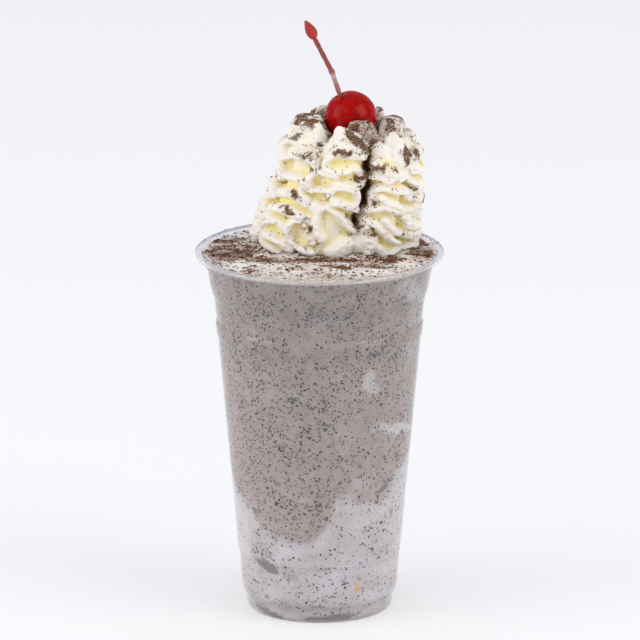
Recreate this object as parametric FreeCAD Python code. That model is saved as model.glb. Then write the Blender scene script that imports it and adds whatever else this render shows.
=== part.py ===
import FreeCAD, Part

import math
import os

import Mesh

# A coffee milkshake in a clear disposable cup, with piped whipped cream and a cherry on its stem.
#
# Millimetres, +Z up.  The origin is the centre of the cup's foot, on the table, and -Y is the front.
# Five pieces, each one solid: the thin-walled cup, the drink that fills it nearly to the brim, the mound
# of folded cream that stands in the drink, the cherry in its nest between the tips of the cream, and the
# stem rooted in the cherry.  Every piece takes its seat from the sizes of the piece that carries it.

Vector = FreeCAD.Vector
UP = Vector(0, 0, 1)
TABLE_CENTRE = Vector(0, 0, 0)

# ---- cup: a sheet of clear plastic.  Radii are of its inner face, unless the name says otherwise ------
WALL = 0.45                 # thickness of the sheet
CUP_HEIGHT = 145.0          # from the table to the top of the lip
LIP_RADIUS = 49.0           # outside of the rolled lip
LIP_WIDTH = 3.2             # from the mouth's inner face to the outside of the lip
LIP_ROLL = 1.0              # radius of the roll at the lip's outer edge
LIP_TUCK = 0.45             # how far the free edge under the roll turns back in, as a share of the roll
FLARE_DROP = 8.0            # each drop is measured down from the top of the lip
FLARE_INSET = 2.3           # and each inset inwards from the mouth
NECK_DROP = 13.0
NECK_INSET = 3.1
SHOULDER_DROP = 16.8        # stacking ledge below the neck
SHOULDER_INSET = 4.1
SHOULDER_STEP = 0.6
BEAD_DROP = 27.4            # top of the grip bead round the upper body
BEAD_INSET = 5.9
BEAD_LENGTH = 5.6
BEAD_DEPTH = 0.55
WAIST_INSET = 6.3           # the body just under the grip bead
LEDGE = 1.0                 # height over which each ledge steps in or out
FOOT_RADIUS = 28.6          # the narrow foot, where it meets the heel
FOOT_DRAFT = 0.5            # the foot narrows by this much towards the table
FOOT_HEIGHT = 5.8
FOOT_CORNER = 1.6           # rounding between the foot and the ring it stands on
HEEL_OUTSET = 1.8           # the body stands out this far beyond the foot
HEEL_HEIGHT = 10.5
HEEL_CURVE_OUT = 0.68       # the heel's curve passes this share of its width out,
HEEL_CURVE_UP = 0.4         # at this share of its height
LOWER_RING_HEIGHT = 23.2    # faint ring low on the body
LOWER_RING_STEP = 0.3
RING_WIDTH = 3.0            # flat ring that the cup stands on
FLOOR_RISE = 3.0            # the raised floor, above the ring
FLOOR_SLANT = 2.4           # run of the slope between the ring and the floor

# ---- drink ---------------------------------------------------------------------------------------
DRINK_GAP = 0.04            # between the drink and the sheet
DRINK_SHORT = 1.5           # from the top of the lip down to the drink at the wall
DRINK_CROWN = 1.7           # the middle of its surface stands this much higher
CROWN_CURVE_OUT = 0.55      # the crown's curve passes this share of the radius out,
CROWN_CURVE_UP = 0.72       # at this share of its rise

# ---- whipped cream: a ring of upright lobes, each laid down in folds, that narrows and leans upwards --
CREAM_SINK = 2.2            # depth of the mound's flat underside below the drink's level at the wall
CREAM_HEM = 0.3             # height of the plain hem above the crown of the drink
CREAM_HEIGHT = 49.0         # from the hem to the mean height of the lobes' tips
CREAM_RADIUS = 33.5         # half width of the mound at its foot
CREAM_TOP_RADIUS = 28.7     # half width where the folds end
CREAM_DEPTH = 0.83          # front-to-back size of the mound as a share of its width
CREAM_WALL_GAP = 1.0        # least distance from the mound's foot to the mouth of the cup
CREAM_X = 5.8               # centre of the mound at its foot
CREAM_Y = 13.0
CREAM_LEAN_X = 7.4          # and how far the centre has moved where the folds end
CREAM_LEAN_Y = -4.5
FRONT_LOBE = 262.0          # direction that the first lobe faces: degrees from +X, anticlockwise from above
FURROW = 4.2                # depth of the furrow between two lobes
LOBE_FLATNESS = 0.75        # small makes broad flat lobes with narrow furrows, 1 makes plain waves
LOBE_EDGE = 0.3             # from this share of a lobe's width on, its sizes lead over into its neighbour's
FOLD_DEPTH = 3.0            # from the crest of a fold in to the crease under it
FOLD_DROOP = 1.3            # how far the crest of a fold hangs below its place
FOLD_SLOPE = 0.7            # folds that a lobe drops by from its left side to its right
FOLD_TAPER = 0.08           # share of the folds' height over which they rise out of the hem
CREASE_UPPER = 0.5          # how sharply the fold above a crease hangs out over it: small is sharp
CREASE_LOWER = 0.9          # and how sharply the fold below slopes in to it
CREASE_OPEN = 0.16          # from this share of the lobe's width on, one side in turn, a crease closes,
CREASE_SHUT = 0.42          # and is shut from this one on, so that the strand doubles back there
TIP_LENGTH = 13.0           # the smooth end of each lobe above its last fold
TIP_BULGE = 1.2             # how far that end's curve is pulled out before it turns in,
TIP_RISE = 0.45             # at this share of its rise
TIP_WIDTH = 4.4             # from the cherry's side to the tips
TIP_REACH = 1.2             # pull of the curve outwards at the tip, in tip widths
TIP_NOTCH = 6.5             # how far the rim drops between two tips
NOTCH_CURVE = 1.6           # large makes broad tips with narrow notches
INNER_DROP = 0.25           # pull of the curve down from the tips towards the nest, as a share of the rise
INNER_SLANT = 0.6           # and inwards
INNER_REACH = 0.8           # pull of that curve along the nest's edge, in tip widths
BACK_TIP = 11.0             # a small lobe set back in the furrow after the first: its height in the notch,
BACK_TIP_PLACE = 0.5        # its place, in lobes after the first,
BACK_TIP_WIDTH = 0.36       # and its half width, in lobes
# One entry for each lobe, anticlockwise from the one in front: the height of its tip above the mean, the
# number of its folds, the share of a fold by which they start late, and the extra depth of the furrow
# that follows it.
LOBE_RISE = (-1.0, -3.5, -4.0, 0.0, 1.5, 4.0, 3.0, 3.5)
LOBE_FOLDS = (9, 6, 6, 9, 9, 8, 9, 9)
LOBE_START = (0.00, 0.35, 0.70, 0.15, 0.50, 0.85, 0.30, 0.60)
LOBE_FURROW = (3.4, 0.4, 0.0, 0.6, 0.0, 0.4, 0.0, -2.0)
COLUMNS_PER_LOBE = 10       # facets across one lobe
FOLD_ROWS = 36              # facets up the folds
TIP_ROWS = 6                # facets up the smooth end of a lobe
INNER_ROWS = 3              # facets from the tips down to the nest
NEST_ROWS = 3               # facets down the nest

# ---- cherry --------------------------------------------------------------------------------------
CHERRY_RADIUS = 10.2
CHERRY_X = 6.4              # from the centre of the mound's foot
CHERRY_Y = -4.5
CHERRY_SEAT = 2.2           # height of its centre above the mean height of the tips
NEST_GAP = 0.12             # between the fruit and the cream that it sits in
NEST_ANGLE = 42.0           # degrees up from the fruit's lowest point to the edge of the nest
CHERRY_LEAN = 27.0          # degrees by which the stem end leans to the left
DIMPLE_RADIUS = 3.6         # hollow round the stem
DIMPLE_DEPTH = 1.7
DIMPLE_FLOOR = 0.42         # radius of its flat floor, as a share of its own
DIMPLE_CURVE_OUT = 0.72     # its side passes this share of its radius out,
DIMPLE_CURVE_UP = 0.62      # at this share of its height
SCAR_RADIUS = 0.8           # flat blossom scar at the other end

# ---- stem ----------------------------------------------------------------------------------------
STEM_ROOT = 1.8             # how deep it is rooted below the dimple's floor
STEM_RADIUS = 1.0
LOWER_STEM = 11.0           # length from the dimple's floor to the knot
LOWER_STEM_LEAN = 18.5      # degrees from upright, to the left
UPPER_STEM = 15.0           # length from the knot to the bud
UPPER_STEM_LEAN = 27.0
UPPER_STEM_WIDTH = 0.95     # as a share of the lower stem's
KNOT_RADIUS = 1.35
BUD_LENGTH = 8.0
BUD_RADIUS = 2.4
BUD_RIDGES = 5
BUD_RIDGE_DEPTH = 0.16      # share of its radius
BUD_NECK = 0.8              # radius where it leaves the stem, in stem radii
BUD_SWELL_PLACE = 0.8       # small moves its widest place towards the stem
BUD_NARROWING = 0.55        # share of its radius that it loses again towards the end
BUD_SECTIONS = 8


# ---- shared helpers ------------------------------------------------------------------------------

def at(radius, height):
    """A point of a turned profile, in the XZ plane."""
    return Vector(radius, 0, height)


def straight_edges(points):
    """Straight edges from each point to the next."""
    return [Part.LineSegment(a, b).toShape() for a, b in zip(points, points[1:])]


def arc_edge(start, middle, end):
    """An arc through three points."""
    return Part.Arc(start, middle, end).toShape()


def turned_solid(face):
    """The solid that a face in the XZ plane makes when it is turned round the Z axis."""
    solid = face.revolve(TABLE_CENTRE, UP, 360).Solids[0]
    if solid.Volume < 0:
        solid.reverse()
    return solid


def solid_from_triangles(triangles):
    """One solid bounded by flat triangles, which are given as triples of points."""
    shape = Part.Shape()
    shape.makeShapeFromMesh(Mesh.Mesh(triangles).Topology, 0.001)
    solid = Part.Solid(Part.Shell(shape.Faces))
    if solid.Volume < 0:
        solid.reverse()
    return solid


def ease(value):
    """0 up to 0, 1 from 1 on, and a smooth S between."""
    value = min(max(value, 0.0), 1.0)
    return value * value * (3 - 2 * value)


def mix(first, second, share):
    return first + (second - first) * share


def bezier(points, share):
    """The point at a share of a Bezier curve, by narrowing down its control points."""
    while len(points) > 1:
        points = [a + (b - a) * share for a, b in zip(points, points[1:])]
    return points[0]


# ---- cup and drink -------------------------------------------------------------------------------

def mouth_radius():
    return LIP_RADIUS - LIP_WIDTH


def waist_height():
    """Height of the body just under the grip bead."""
    return CUP_HEIGHT - BEAD_DROP - BEAD_LENGTH - LEDGE


def body_radius(height):
    """Inner face of the plain tapered body, between the heel and the grip bead."""
    heel = FOOT_RADIUS + HEEL_OUTSET
    share = (height - HEEL_HEIGHT) / (waist_height() - HEEL_HEIGHT)
    return mix(heel, mouth_radius() - WAIST_INSET, share)


def foot_edges():
    """The inner face from the axis to the heel: raised floor, ring, foot and heel."""
    ring_outer = FOOT_RADIUS - FOOT_DRAFT - FOOT_CORNER
    ring_inner = ring_outer - RING_WIDTH
    corner_top = WALL + FOOT_CORNER
    slant = math.sqrt(0.5)
    foot_bottom = at(FOOT_RADIUS - FOOT_DRAFT, corner_top)
    foot_top = at(FOOT_RADIUS, FOOT_HEIGHT)
    heel_start = at(FOOT_RADIUS + LEDGE / 2, FOOT_HEIGHT + LEDGE / 2)
    heel_end = at(FOOT_RADIUS + HEEL_OUTSET, HEEL_HEIGHT)
    heel_middle = at(mix(heel_start.x, heel_end.x, HEEL_CURVE_OUT),
                     mix(heel_start.z, heel_end.z, HEEL_CURVE_UP))
    corner_middle = at(ring_outer + FOOT_CORNER * slant, corner_top - FOOT_CORNER * slant)
    floor_edge = ring_inner - FLOOR_SLANT
    edges = straight_edges([at(0, WALL + FLOOR_RISE), at(floor_edge, WALL + FLOOR_RISE), at(ring_inner, WALL),
                            at(ring_outer, WALL)])
    edges.append(arc_edge(at(ring_outer, WALL), corner_middle, foot_bottom))
    edges += straight_edges([foot_bottom, foot_top, heel_start])
    edges.append(arc_edge(heel_start, heel_middle, heel_end))
    return edges


def body_points():
    """The inner face from the heel to the flare under the lip."""
    mouth = mouth_radius()
    bead_top = CUP_HEIGHT - BEAD_DROP
    shoulder = CUP_HEIGHT - SHOULDER_DROP
    ring_top = LOWER_RING_HEIGHT + LEDGE / 2
    ring_bottom = LOWER_RING_HEIGHT - LEDGE / 2
    return [
        at(body_radius(HEEL_HEIGHT), HEEL_HEIGHT),
        at(body_radius(ring_bottom) - LOWER_RING_STEP, ring_bottom),
        at(body_radius(ring_top), ring_top),
        at(mouth - WAIST_INSET, waist_height()),
        at(mouth - WAIST_INSET + BEAD_DEPTH, waist_height() + LEDGE),
        at(mouth - BEAD_INSET + BEAD_DEPTH, bead_top - LEDGE),
        at(mouth - BEAD_INSET, bead_top),
        at(mouth - SHOULDER_INSET - SHOULDER_STEP, shoulder - LEDGE),
        at(mouth - SHOULDER_INSET, shoulder),
        at(mouth - NECK_INSET, CUP_HEIGHT - NECK_DROP),
        at(mouth - FLARE_INSET, CUP_HEIGHT - FLARE_DROP),
        at(mouth, CUP_HEIGHT - LIP_ROLL),
    ]


def lip_edges():
    """The upper face of the lip: out over the brim, round the roll and under it."""
    mouth = mouth_radius()
    roll = LIP_ROLL
    low = CUP_HEIGHT - roll
    slant = roll * math.sqrt(0.5)
    brim_start = mouth + roll
    brim_end = LIP_RADIUS - roll
    tuck = math.pi / 2 * LIP_TUCK

    def under(turn):
        return at(brim_end + roll * math.cos(turn), low - roll * math.sin(turn))

    return [
        arc_edge(at(mouth, low), at(brim_start - slant, low + slant), at(brim_start, CUP_HEIGHT)),
        Part.LineSegment(at(brim_start, CUP_HEIGHT), at(brim_end, CUP_HEIGHT)).toShape(),
        arc_edge(at(brim_end, CUP_HEIGHT), at(brim_end + slant, low + slant), at(LIP_RADIUS, low)),
        arc_edge(at(LIP_RADIUS, low), under(tuck / 2), under(tuck)),
    ]


def make_cup():
    """The inner face's line, thickened outwards by the sheet and turned."""
    line = Part.Wire(foot_edges() + straight_edges(body_points()) + lip_edges())
    section = line.makeOffset2D(-WALL, 2, True, True)
    return turned_solid(section.Faces[0])


def drink_level():
    """Height of the drink where it meets the wall."""
    return CUP_HEIGHT - DRINK_SHORT


def make_drink(pocket):
    """Everything inside the cup up to the level, with the pocket that the mound of cream stands in."""
    level = drink_level()
    points = body_points()
    flare, mouth = points[-2], points[-1]
    points[-1] = at(mix(flare.x, mouth.x, (level - flare.z) / (mouth.z - flare.z)), level)
    wall_line = Part.Wire(foot_edges() + straight_edges(points))
    clearance = turned_solid(wall_line.makeOffset2D(DRINK_GAP, 2, True, True).Faces[0])
    crown = at(0, level + DRINK_CROWN)
    middle = at(points[-1].x * CROWN_CURVE_OUT, level + DRINK_CROWN * CROWN_CURVE_UP)
    surface = [arc_edge(points[-1], middle, crown)] + straight_edges([crown, at(0, WALL + FLOOR_RISE)])
    filled = turned_solid(Part.Face(Part.Wire(wall_line.Edges + surface)))
    return filled.cut(clearance).cut(pocket)


# ---- whipped cream -------------------------------------------------------------------------------

def hem_height():
    """Height at which the hem ends and the folds begin, just clear of the drink's crown."""
    return drink_level() + DRINK_CROWN + CREAM_HEM


def tips_height():
    """Mean height of the lobes' tips."""
    return hem_height() + CREAM_HEIGHT


def cherry_centre():
    return Vector(CREAM_X + CHERRY_X, CREAM_Y + CHERRY_Y, tips_height() + CHERRY_SEAT)


def columns():
    return range(COLUMNS_PER_LOBE * len(LOBE_RISE))


def column_angle(column):
    return math.radians(FRONT_LOBE) + 2 * math.pi * column / len(columns())


def outward(column):
    """The level direction in which a column faces, on the flattened round of the mound."""
    angle = column_angle(column)
    return Vector(math.cos(angle), CREAM_DEPTH * math.sin(angle), 0)


def lobe_at(column):
    """The lobe that a column of facets is on, and its place across the lobe, from -0.5 to 0.5."""
    lobe = math.floor(column / COLUMNS_PER_LOBE + 0.5)
    return lobe % len(LOBE_RISE), column / COLUMNS_PER_LOBE - lobe


def blended(values, column):
    """A lobe's own value, led over into its neighbour's near the furrow between them."""
    lobe, across = lobe_at(column)
    neighbour = values[(lobe + (1 if across > 0 else -1)) % len(values)]
    return mix(values[lobe], neighbour, 0.5 * ease((abs(across) - LOBE_EDGE) / (0.5 - LOBE_EDGE)))


def furrow_depth(column):
    """How deep the mound is cut in at a column: nothing on the crown of a lobe, most between two lobes."""
    lobe, across = lobe_at(column)
    following = lobe if across > 0 else lobe - 1
    crown = max(math.cos(math.pi * across), 0.0)
    return (FURROW + LOBE_FURROW[following]) * (1 - crown ** LOBE_FLATNESS)


def crease_share(folds_up, across):
    """How far the cream is drawn in, from 0 on a crest to 1 in a crease, at a height counted in folds.

    Above a crease the next fold hangs out at once, and below it the last one slopes in slowly.  A crease
    is open on one side of the lobe and shut on the other, in turn, where the strand doubles back.
    """
    crease = math.floor(folds_up + 0.5)
    away = folds_up - crease
    sharpness = CREASE_UPPER if away > 0 else CREASE_LOWER
    depth = 1 - abs(math.sin(math.pi * away)) ** sharpness
    side = across if crease % 2 else -across
    return depth * (1 - ease((side - CREASE_OPEN) / (CREASE_SHUT - CREASE_OPEN)))


def fold_point(column, share):
    """A point of the folded part of a lobe, at a share of the way up its folds."""
    lobe, across = lobe_at(column)
    folds_up = blended(LOBE_FOLDS, column) * share + blended(LOBE_START, column) + FOLD_SLOPE * across
    taper = ease(share / FOLD_TAPER) * ease((1 - share) / FOLD_TAPER)
    crease = crease_share(folds_up, across)
    lean = ease(share)
    radius = mix(CREAM_RADIUS, CREAM_TOP_RADIUS, lean) - furrow_depth(column) - FOLD_DEPTH * crease * taper
    top = tips_height() + blended(LOBE_RISE, column) - TIP_LENGTH
    height = mix(hem_height(), top, share) - FOLD_DROOP * (1 - crease) * taper
    centre = Vector(CREAM_X + CREAM_LEAN_X * lean, CREAM_Y + CREAM_LEAN_Y * lean, height)
    return centre + outward(column) * radius


def foot_point(column, height):
    """A point of the mound's outline at its foot, kept clear of the cup's mouth."""
    point = fold_point(column, 0)
    reach = math.hypot(point.x, point.y)
    scale = min(1.0, (mouth_radius() - CREAM_WALL_GAP) / reach)
    return Vector(point.x * scale, point.y * scale, height)


def tip_point(column):
    """The highest point of a column, on the ring of tips round the cherry."""
    lobe, across = lobe_at(column)
    height = tips_height() + blended(LOBE_RISE, column) - TIP_NOTCH * abs(2 * across) ** NOTCH_CURVE
    half_way = len(LOBE_RISE) / 2
    from_back_tip = (column / COLUMNS_PER_LOBE - BACK_TIP_PLACE + half_way) % len(LOBE_RISE) - half_way
    height += BACK_TIP * math.exp(-(from_back_tip / BACK_TIP_WIDTH) ** 2)
    centre = cherry_centre()
    return Vector(centre.x, centre.y, height) + outward(column) * ((CHERRY_RADIUS + TIP_WIDTH) / CREAM_DEPTH)


def nest_point(column, angle):
    """A point of the nest, at an angle up from the fruit's lowest point."""
    turn = column_angle(column)
    radius = CHERRY_RADIUS + NEST_GAP
    side = Vector(math.cos(turn), math.sin(turn), 0) * (radius * math.sin(angle))
    return cherry_centre() + side - UP * (radius * math.cos(angle))


def mound_rows():
    """Rings of points from the underside up the folds, over the tips and down into the nest."""
    seat = drink_level() - CREAM_SINK
    rows = [[foot_point(column, seat) for column in columns()],
            [foot_point(column, hem_height()) for column in columns()]]
    rows += [[fold_point(column, row / FOLD_ROWS) for column in columns()] for row in range(1, FOLD_ROWS + 1)]
    nest_edge = math.radians(NEST_ANGLE)
    outer, inner = [], []
    for column in columns():
        side = outward(column)
        start = fold_point(column, 1)
        tip = tip_point(column)
        edge = nest_point(column, nest_edge)
        tangent = side * math.cos(nest_edge) + UP * math.sin(nest_edge)
        rise = tip.z - start.z
        outer.append([start, start + side * TIP_BULGE + UP * (rise * TIP_RISE),
                      tip + side * (TIP_WIDTH * TIP_REACH), tip])
        inner.append([tip, tip - side * INNER_SLANT - UP * (rise * INNER_DROP),
                      edge + tangent * (TIP_WIDTH * INNER_REACH), edge])
    rows += [[bezier(curve, row / TIP_ROWS) for curve in outer] for row in range(1, TIP_ROWS + 1)]
    rows += [[bezier(curve, row / INNER_ROWS) for curve in inner] for row in range(1, INNER_ROWS + 1)]
    rows += [[nest_point(column, nest_edge * (1 - row / NEST_ROWS)) for column in columns()]
             for row in range(1, NEST_ROWS)]
    return rows


def make_cream():
    rows = mound_rows()
    count = len(columns())
    centre = cherry_centre()
    bottom = Vector(CREAM_X, CREAM_Y, rows[0][0].z)
    top = Vector(centre.x, centre.y, centre.z - CHERRY_RADIUS - NEST_GAP)
    triangles = []
    for this in range(count):
        after = (this + 1) % count
        triangles.append((bottom, rows[0][after], rows[0][this]))
        triangles.append((rows[-1][this], rows[-1][after], top))
        for lower, upper in zip(rows, rows[1:]):
            triangles.append((lower[this], lower[after], upper[after]))
            triangles.append((lower[this], upper[after], upper[this]))
    return solid_from_triangles(triangles)


def make_pocket():
    """The space in the drink that the mound's foot fills."""
    outline = [foot_point(column, drink_level() - CREAM_SINK) for column in columns()]
    face = Part.Face(Part.makePolygon(outline + outline[:1]))
    return face.extrude(UP * (CREAM_SINK + DRINK_CROWN + CREAM_HEM))


# ---- cherry and stem -----------------------------------------------------------------------------

def leaning(degrees):
    """The direction that leans from upright to the left by an angle."""
    angle = math.radians(degrees)
    return Vector(-math.sin(angle), 0, math.cos(angle))


def stem_points():
    """Where the stem is rooted, and where it has its knot, its bud and its end."""
    floor = cherry_centre() + leaning(CHERRY_LEAN) * (CHERRY_RADIUS - DIMPLE_DEPTH)
    lower = leaning(LOWER_STEM_LEAN)
    upper = leaning(UPPER_STEM_LEAN)
    knot = floor + lower * LOWER_STEM
    bud = knot + upper * UPPER_STEM
    return floor - lower * STEM_ROOT, knot, bud, bud + upper * BUD_LENGTH


def rod(start, end, radius):
    """A straight round length of stem."""
    return Part.makeCylinder(radius, (end - start).Length, start, end - start)


def make_bud(start, end):
    """The swollen end of the stem: a ridged section that swells and closes again towards its tip."""
    length = (end - start).Length
    turn = FreeCAD.Rotation(UP, end - start)
    sections = []
    for section in range(BUD_SECTIONS + 1):
        share = section / BUD_SECTIONS
        swell = mix(STEM_RADIUS * BUD_NECK, BUD_RADIUS, math.sin(math.pi * share ** BUD_SWELL_PLACE))
        swell = swell * (1 - BUD_NARROWING * share ** 3)
        ring = []
        for corner in range(2 * BUD_RIDGES):
            radius = swell * (1 - BUD_RIDGE_DEPTH * (corner % 2))
            angle = math.pi * corner / BUD_RIDGES
            ring.append(start + turn.multVec(Vector(radius * math.cos(angle), radius * math.sin(angle),
                                                    length * share)))
        sections.append(Part.makePolygon(ring + ring[:1]))
    return Part.makeLoft(sections, True, True)


def make_stem():
    root, knot, bud, end = stem_points()
    knot_ball = Part.makeSphere(KNOT_RADIUS, knot)
    stem = rod(root, knot, STEM_RADIUS).fuse([knot_ball, rod(knot, bud, STEM_RADIUS * UPPER_STEM_WIDTH),
                                              make_bud(bud, end)])
    return stem.removeSplitter().Solids[0]


def make_cherry(stem):
    """The fruit: a ball with a blossom scar, a dimple at the stem end, and the hole of the stem's root."""
    floor = CHERRY_RADIUS - DIMPLE_DEPTH
    floor_edge = at(DIMPLE_RADIUS * DIMPLE_FLOOR, floor)
    brim = at(DIMPLE_RADIUS, math.sqrt(CHERRY_RADIUS ** 2 - DIMPLE_RADIUS ** 2))
    hollow = at(DIMPLE_RADIUS * DIMPLE_CURVE_OUT, mix(floor, brim.z, DIMPLE_CURVE_UP))
    scar = at(SCAR_RADIUS, -math.sqrt(CHERRY_RADIUS ** 2 - SCAR_RADIUS ** 2))
    outline = straight_edges([floor_edge, at(0, floor), at(0, scar.z), scar])
    outline += [arc_edge(scar, at(CHERRY_RADIUS, 0), brim), arc_edge(brim, hollow, floor_edge)]
    fruit = turned_solid(Part.Face(Part.Wire(outline)))
    fruit.Placement = FreeCAD.Placement(cherry_centre(), FreeCAD.Rotation(UP, leaning(CHERRY_LEAN)))
    return fruit.cut(stem).Solids[0]


def main():
    stem = make_stem()
    pieces = {
        "cup": make_cup(),
        "milkshake": make_drink(make_pocket()),
        "whipped_cream": make_cream(),
        "cherry": make_cherry(stem),
        "cherry_stem": stem,
    }
    os.makedirs("parts", exist_ok=True)
    for name, shape in pieces.items():
        shape.exportStep("parts/" + name + ".step")
        print(name, "solids", len(shape.Solids), "faces", len(shape.Faces), "valid", shape.isValid(),
              "volume", round(shape.Volume, 1))


main()
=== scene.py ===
# %% [markdown]
# # A coffee milkshake with whipped cream and a cherry
#
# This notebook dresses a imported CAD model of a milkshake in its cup.  The CAD part settles sizes and
# places; here each piece gets its real surface: clear plastic, speckled shake, foam, folded cream,
# cocoa, wet cherry.  The first lines load the CAD model as a fixed frame, in metres, +Z up, front at -Y.

# %% Load the frame
import math

import bpy
import numpy as np
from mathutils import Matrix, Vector


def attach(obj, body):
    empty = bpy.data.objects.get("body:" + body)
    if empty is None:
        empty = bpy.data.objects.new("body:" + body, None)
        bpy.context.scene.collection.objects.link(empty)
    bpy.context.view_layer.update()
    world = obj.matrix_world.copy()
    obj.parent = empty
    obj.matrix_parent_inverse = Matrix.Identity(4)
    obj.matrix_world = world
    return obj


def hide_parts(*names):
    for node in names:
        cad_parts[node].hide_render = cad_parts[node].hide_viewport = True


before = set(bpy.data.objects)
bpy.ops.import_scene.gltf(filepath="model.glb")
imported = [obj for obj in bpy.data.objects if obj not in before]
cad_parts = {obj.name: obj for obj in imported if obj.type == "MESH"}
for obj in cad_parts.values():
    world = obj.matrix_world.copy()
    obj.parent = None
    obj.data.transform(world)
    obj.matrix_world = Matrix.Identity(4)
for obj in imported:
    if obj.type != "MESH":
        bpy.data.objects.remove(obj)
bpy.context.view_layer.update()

# %% [markdown]
# ## Working units and small helpers
#
# The shapes below are written in millimetres, because a fold of cream or a grain of cocoa is easier to
# picture that way, and they are turned into metres at the moment a mesh is made.

# %% Helpers for smooth curves
MM = 0.001


def ease(value):
    """0 up to 0, 1 from 1 on, and a smooth S between; works on numbers and on arrays."""
    value = np.clip(value, 0.0, 1.0)
    return value * value * (3 - 2 * value)


def mix(first, second, share):
    """The first value where the share is 0, the second where it is 1."""
    return first + (second - first) * share


def hump(value, centre, half_width):
    """A soft hump: 1 at its centre, falling to 0 at about twice its half width."""
    return np.exp(-((value - centre) / half_width) ** 2)

# %% [markdown]
# Food is uneven at every scale.  Gradient noise gives that unevenness a size: the same function with a
# large size bends a whole lobe, and with a small one it roughens an edge.  Writing it with arrays keeps
# a hundred thousand points quick, and its seeds are fixed, so every run gives the same food.

# %% Noise over arrays of points


def corner_value(ix, iy, iz, seed):
    """A fixed pseudo-random value from -1 to 1 for each corner of a lattice."""
    mixed = (ix * 374761393 + iy * 668265263 + iz * 1274126177 + seed * 974634777) & 0xFFFFFFFF
    mixed = ((mixed ^ (mixed >> 13)) * 1103515245) & 0xFFFFFFFF
    mixed = mixed ^ (mixed >> 16)
    return (mixed & 0xFFFF) / 32767.5 - 1


def noise(points, size, seed=0):
    """Smooth noise from -1 to 1 whose bumps are about `size` across."""
    scaled = np.asarray(points, dtype=float) / size
    base = np.floor(scaled).astype(np.int64)
    part = ease(scaled - base)
    total = 0.0
    for dx in (0, 1):
        for dy in (0, 1):
            for dz in (0, 1):
                weight = (np.where(dx, part[..., 0], 1 - part[..., 0])
                          * np.where(dy, part[..., 1], 1 - part[..., 1])
                          * np.where(dz, part[..., 2], 1 - part[..., 2]))
                total = total + weight * corner_value(base[..., 0] + dx, base[..., 1] + dy,
                                                      base[..., 2] + dz, seed)
    return total


def rough(points, size, octaves=3, seed=0):
    """Noise with finer noise on top of it, each octave half as large and half as strong."""
    return sum(noise(points, size / 2 ** step, seed + step) / 2 ** step for step in range(octaves))

# %% [markdown]
# Nearly every piece here is a stack of rings: a turned cup, a drink, a mound of lobes, a berry, a stem.
# One function makes a closed mesh from rings, and another turns a profile into rings.

# %% Meshes from rings


def ring_faces(rows, first_pole=None, last_pole=None):
    """Points and faces through rings of points (rows, columns, 3), closed at the poles if given."""
    rows = np.asarray(rows, dtype=float)
    count, columns = rows.shape[:2]
    points = rows.reshape(-1, 3)
    index = np.arange(count * columns).reshape(count, columns)
    after = np.roll(index, -1, axis=1)
    faces = np.stack([index[:-1], after[:-1], after[1:], index[1:]], axis=-1).reshape(-1, 4).tolist()
    if first_pole is not None:
        faces += [[len(points), int(b), int(a)] for a, b in zip(index[0], after[0])]
        points = np.vstack([points, first_pole])
    if last_pole is not None:
        faces += [[len(points), int(a), int(b)] for a, b in zip(index[-1], after[-1])]
        points = np.vstack([points, last_pole])
    return points, faces


def painted_mesh(name, points, faces, attributes=None):
    """A smooth mesh of points in millimetres, with values painted on them."""
    mesh = bpy.data.meshes.new(name)
    mesh.from_pydata((points * MM).tolist(), [], faces)
    for label, values in (attributes or {}).items():
        values = np.asarray(values, dtype=float).reshape(-1)
        values = np.concatenate([values, np.full(len(points) - len(values), values[-1])])
        layer = mesh.attributes.new(label, "FLOAT", "POINT")
        layer.data.foreach_set("value", values.astype(np.float32))
    mesh.shade_smooth()
    mesh.update()
    return mesh


def ring_mesh(name, rows, attributes=None, first_pole=None, last_pole=None):
    """A mesh through rings of points in millimetres, with values painted on them."""
    points, faces = ring_faces(rows, first_pole, last_pole)
    return painted_mesh(name, points, faces, attributes)


def turned_rows(profile, columns):
    """Rings that a profile of (radius, height) points sweeps round the Z axis."""
    profile = np.asarray(profile, dtype=float)
    angle = np.arange(columns) * 2 * math.pi / columns
    radius, height = profile[:, :1], profile[:, 1:]
    return np.stack([radius * np.cos(angle), radius * np.sin(angle),
                     np.repeat(height, columns, axis=1)], axis=-1)


def add_piece(name, mesh, material, node=None):
    """An object at the origin that rides on the one body, and stands for a CAD node if one is named."""
    piece = bpy.data.objects.new(name, mesh)
    bpy.context.scene.collection.objects.link(piece)
    mesh.materials.clear()
    mesh.materials.append(material)
    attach(piece, "root")
    if node:
        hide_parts(node)
    size = np.array([v.co for v in mesh.vertices[:]])
    print(name, "faces", len(mesh.polygons), "size in mm", np.round(np.ptp(size, axis=0) / MM, 1))

# %% [markdown]
# ## The camera
#
# A drink like this looks best through a long lens from a little above the rim, so that the mouth of
# the cup is a flat ellipse and its sides hardly converge.  A distant camera with a narrow lens does the
# same here.

# %% Camera
CAMERA_AWAY = 3.6          # level distance from the cup's axis
CAMERA_TILT = math.radians(15.3)
CAMERA_LENS = 534.0
CAMERA_AIM = Vector((0.0002, 0.0, 0.1163))

camera = bpy.data.objects.new("camera", bpy.data.cameras.new("camera"))
bpy.context.scene.collection.objects.link(camera)
camera.data.lens = CAMERA_LENS
camera.location = CAMERA_AIM + Vector((0, -CAMERA_AWAY, CAMERA_AWAY * math.tan(CAMERA_TILT)))
camera.rotation_euler = (CAMERA_AIM - camera.location).to_track_quat("-Z", "Y").to_euler()
bpy.context.scene.camera = camera
print("camera at", tuple(round(v, 3) for v in camera.location))

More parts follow.
